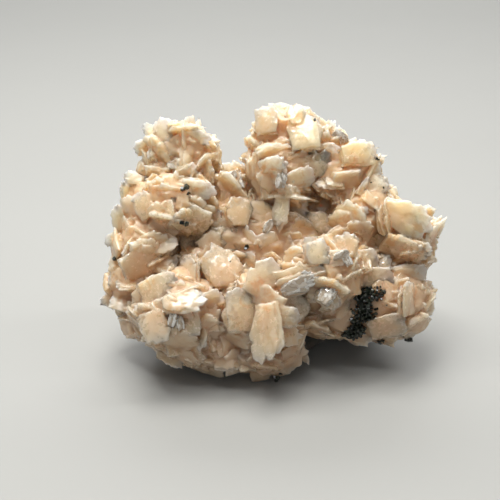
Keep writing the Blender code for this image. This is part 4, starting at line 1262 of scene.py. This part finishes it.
# Each panel of light: its name, place, what it points at, its width and height, its watts, its colour.
LIGHTS = (
    ("top_panel", (-0.1, 0.12, 1.0), MIDDLE, 0.6, 0.4, 10.5, (1.0, 0.985, 0.95)),
    ("led_strip", (-0.1, -0.2, 0.8), MIDDLE, 0.4, 0.015, 2.0, (1.0, 1.0, 1.0)),
    ("left_strip", (-0.5, 0.1, 0.8), MIDDLE, 0.015, 0.4, 1.6, (1.0, 1.0, 1.0)),
    ("right_strip", (0.5, 0.1, 0.8), MIDDLE, 0.015, 0.4, 1.6, (1.0, 1.0, 1.0)),
    ("back_panel", (0.0, 1.5, 1.3), (0.0, 1.2, 0.0), 2.4, 0.8, 34.0, (1.0, 1.0, 1.0)),
    ("front_fill", (0.0, -1.0, 0.6), (0.0, 0.0, 0.06), 0.5, 0.15, 0.8, (1.0, 1.0, 1.0)),
)
SKY_STRENGTH = 0.4
SKY_LOW = (0.24, 0.24, 0.24)
SKY_HIGH = (0.95, 0.96, 0.98)
SENSOR = 36.0


def make_floor():
    mesh = bpy.data.meshes.new("floor")
    a = FLOOR_SIDE
    corners = [(x, y, z) for z in (-FLOOR_DEPTH, 0.0) for x, y in ((-a, -a), (a, -a), (a, a), (-a, a))]
    mesh.from_pydata(corners, [], BOX_FACES)
    floor = linked("floor", mesh)
    paint(floor, floor_material())


def turned_towards(place, target):
    return (Vector(target) - Vector(place)).to_track_quat("-Z", "Y").to_euler()


def make_lights():
    for name, place, target, width, height, watts, colour in LIGHTS:
        data = bpy.data.lights.new(name, "AREA")
        data.shape = "RECTANGLE"
        data.size = width
        data.size_y = height
        data.energy = watts
        data.color = colour
        light = linked(name, data)
        light.location = place
        light.rotation_euler = turned_towards(place, target)


def make_sky():
    n = Nodes(bpy.data.worlds.new("soft_light"), "Background")
    way = n.node("ShaderNodeTexCoord", "Generated", {})
    height = n.remap(n.node("ShaderNodeSeparateXYZ", "Z", {0: way}), 0.2, 0.9, kind="LINEAR")
    n.set(Color=n.mix(height, SKY_LOW, SKY_HIGH), Strength=SKY_STRENGTH)
    bpy.context.scene.world = n.owner


def make_camera():
    data = bpy.data.cameras.new("camera")
    data.sensor_width = SENSOR
    data.lens = SENSOR * FOCAL_PIXELS / PHOTO_SIDE
    data.clip_start = 0.01
    camera = linked("camera", data)
    camera.location = TO_WORLD @ EYE
    camera.rotation_euler = turned_towards(TO_WORLD @ EYE, TO_WORLD @ AIM)
    bpy.context.scene.camera = camera


def main():
    stone = stilbite_material()
    crystals = make_stilbite()
    for piece in crystals:
        paint(piece, stone)
        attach(piece, "root")
        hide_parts("stilbite_crystals")
    clear = make_clear()
    paint(clear, clear_material())
    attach(clear, "root")
    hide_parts("stilbite_crystals")
    rock = make_rock()
    paint(rock, rock_material())
    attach(rock, "root")
    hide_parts("basalt_matrix")
    for piece in (make_druse(), make_specks(crystals)):
        paint(piece, dark_material())
        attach(piece, "root")
        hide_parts("dark_crystal_patch")
    make_floor()
    make_lights()
    make_sky()
    make_camera()
    bpy.context.scene.view_settings.view_transform = "Standard"


main()
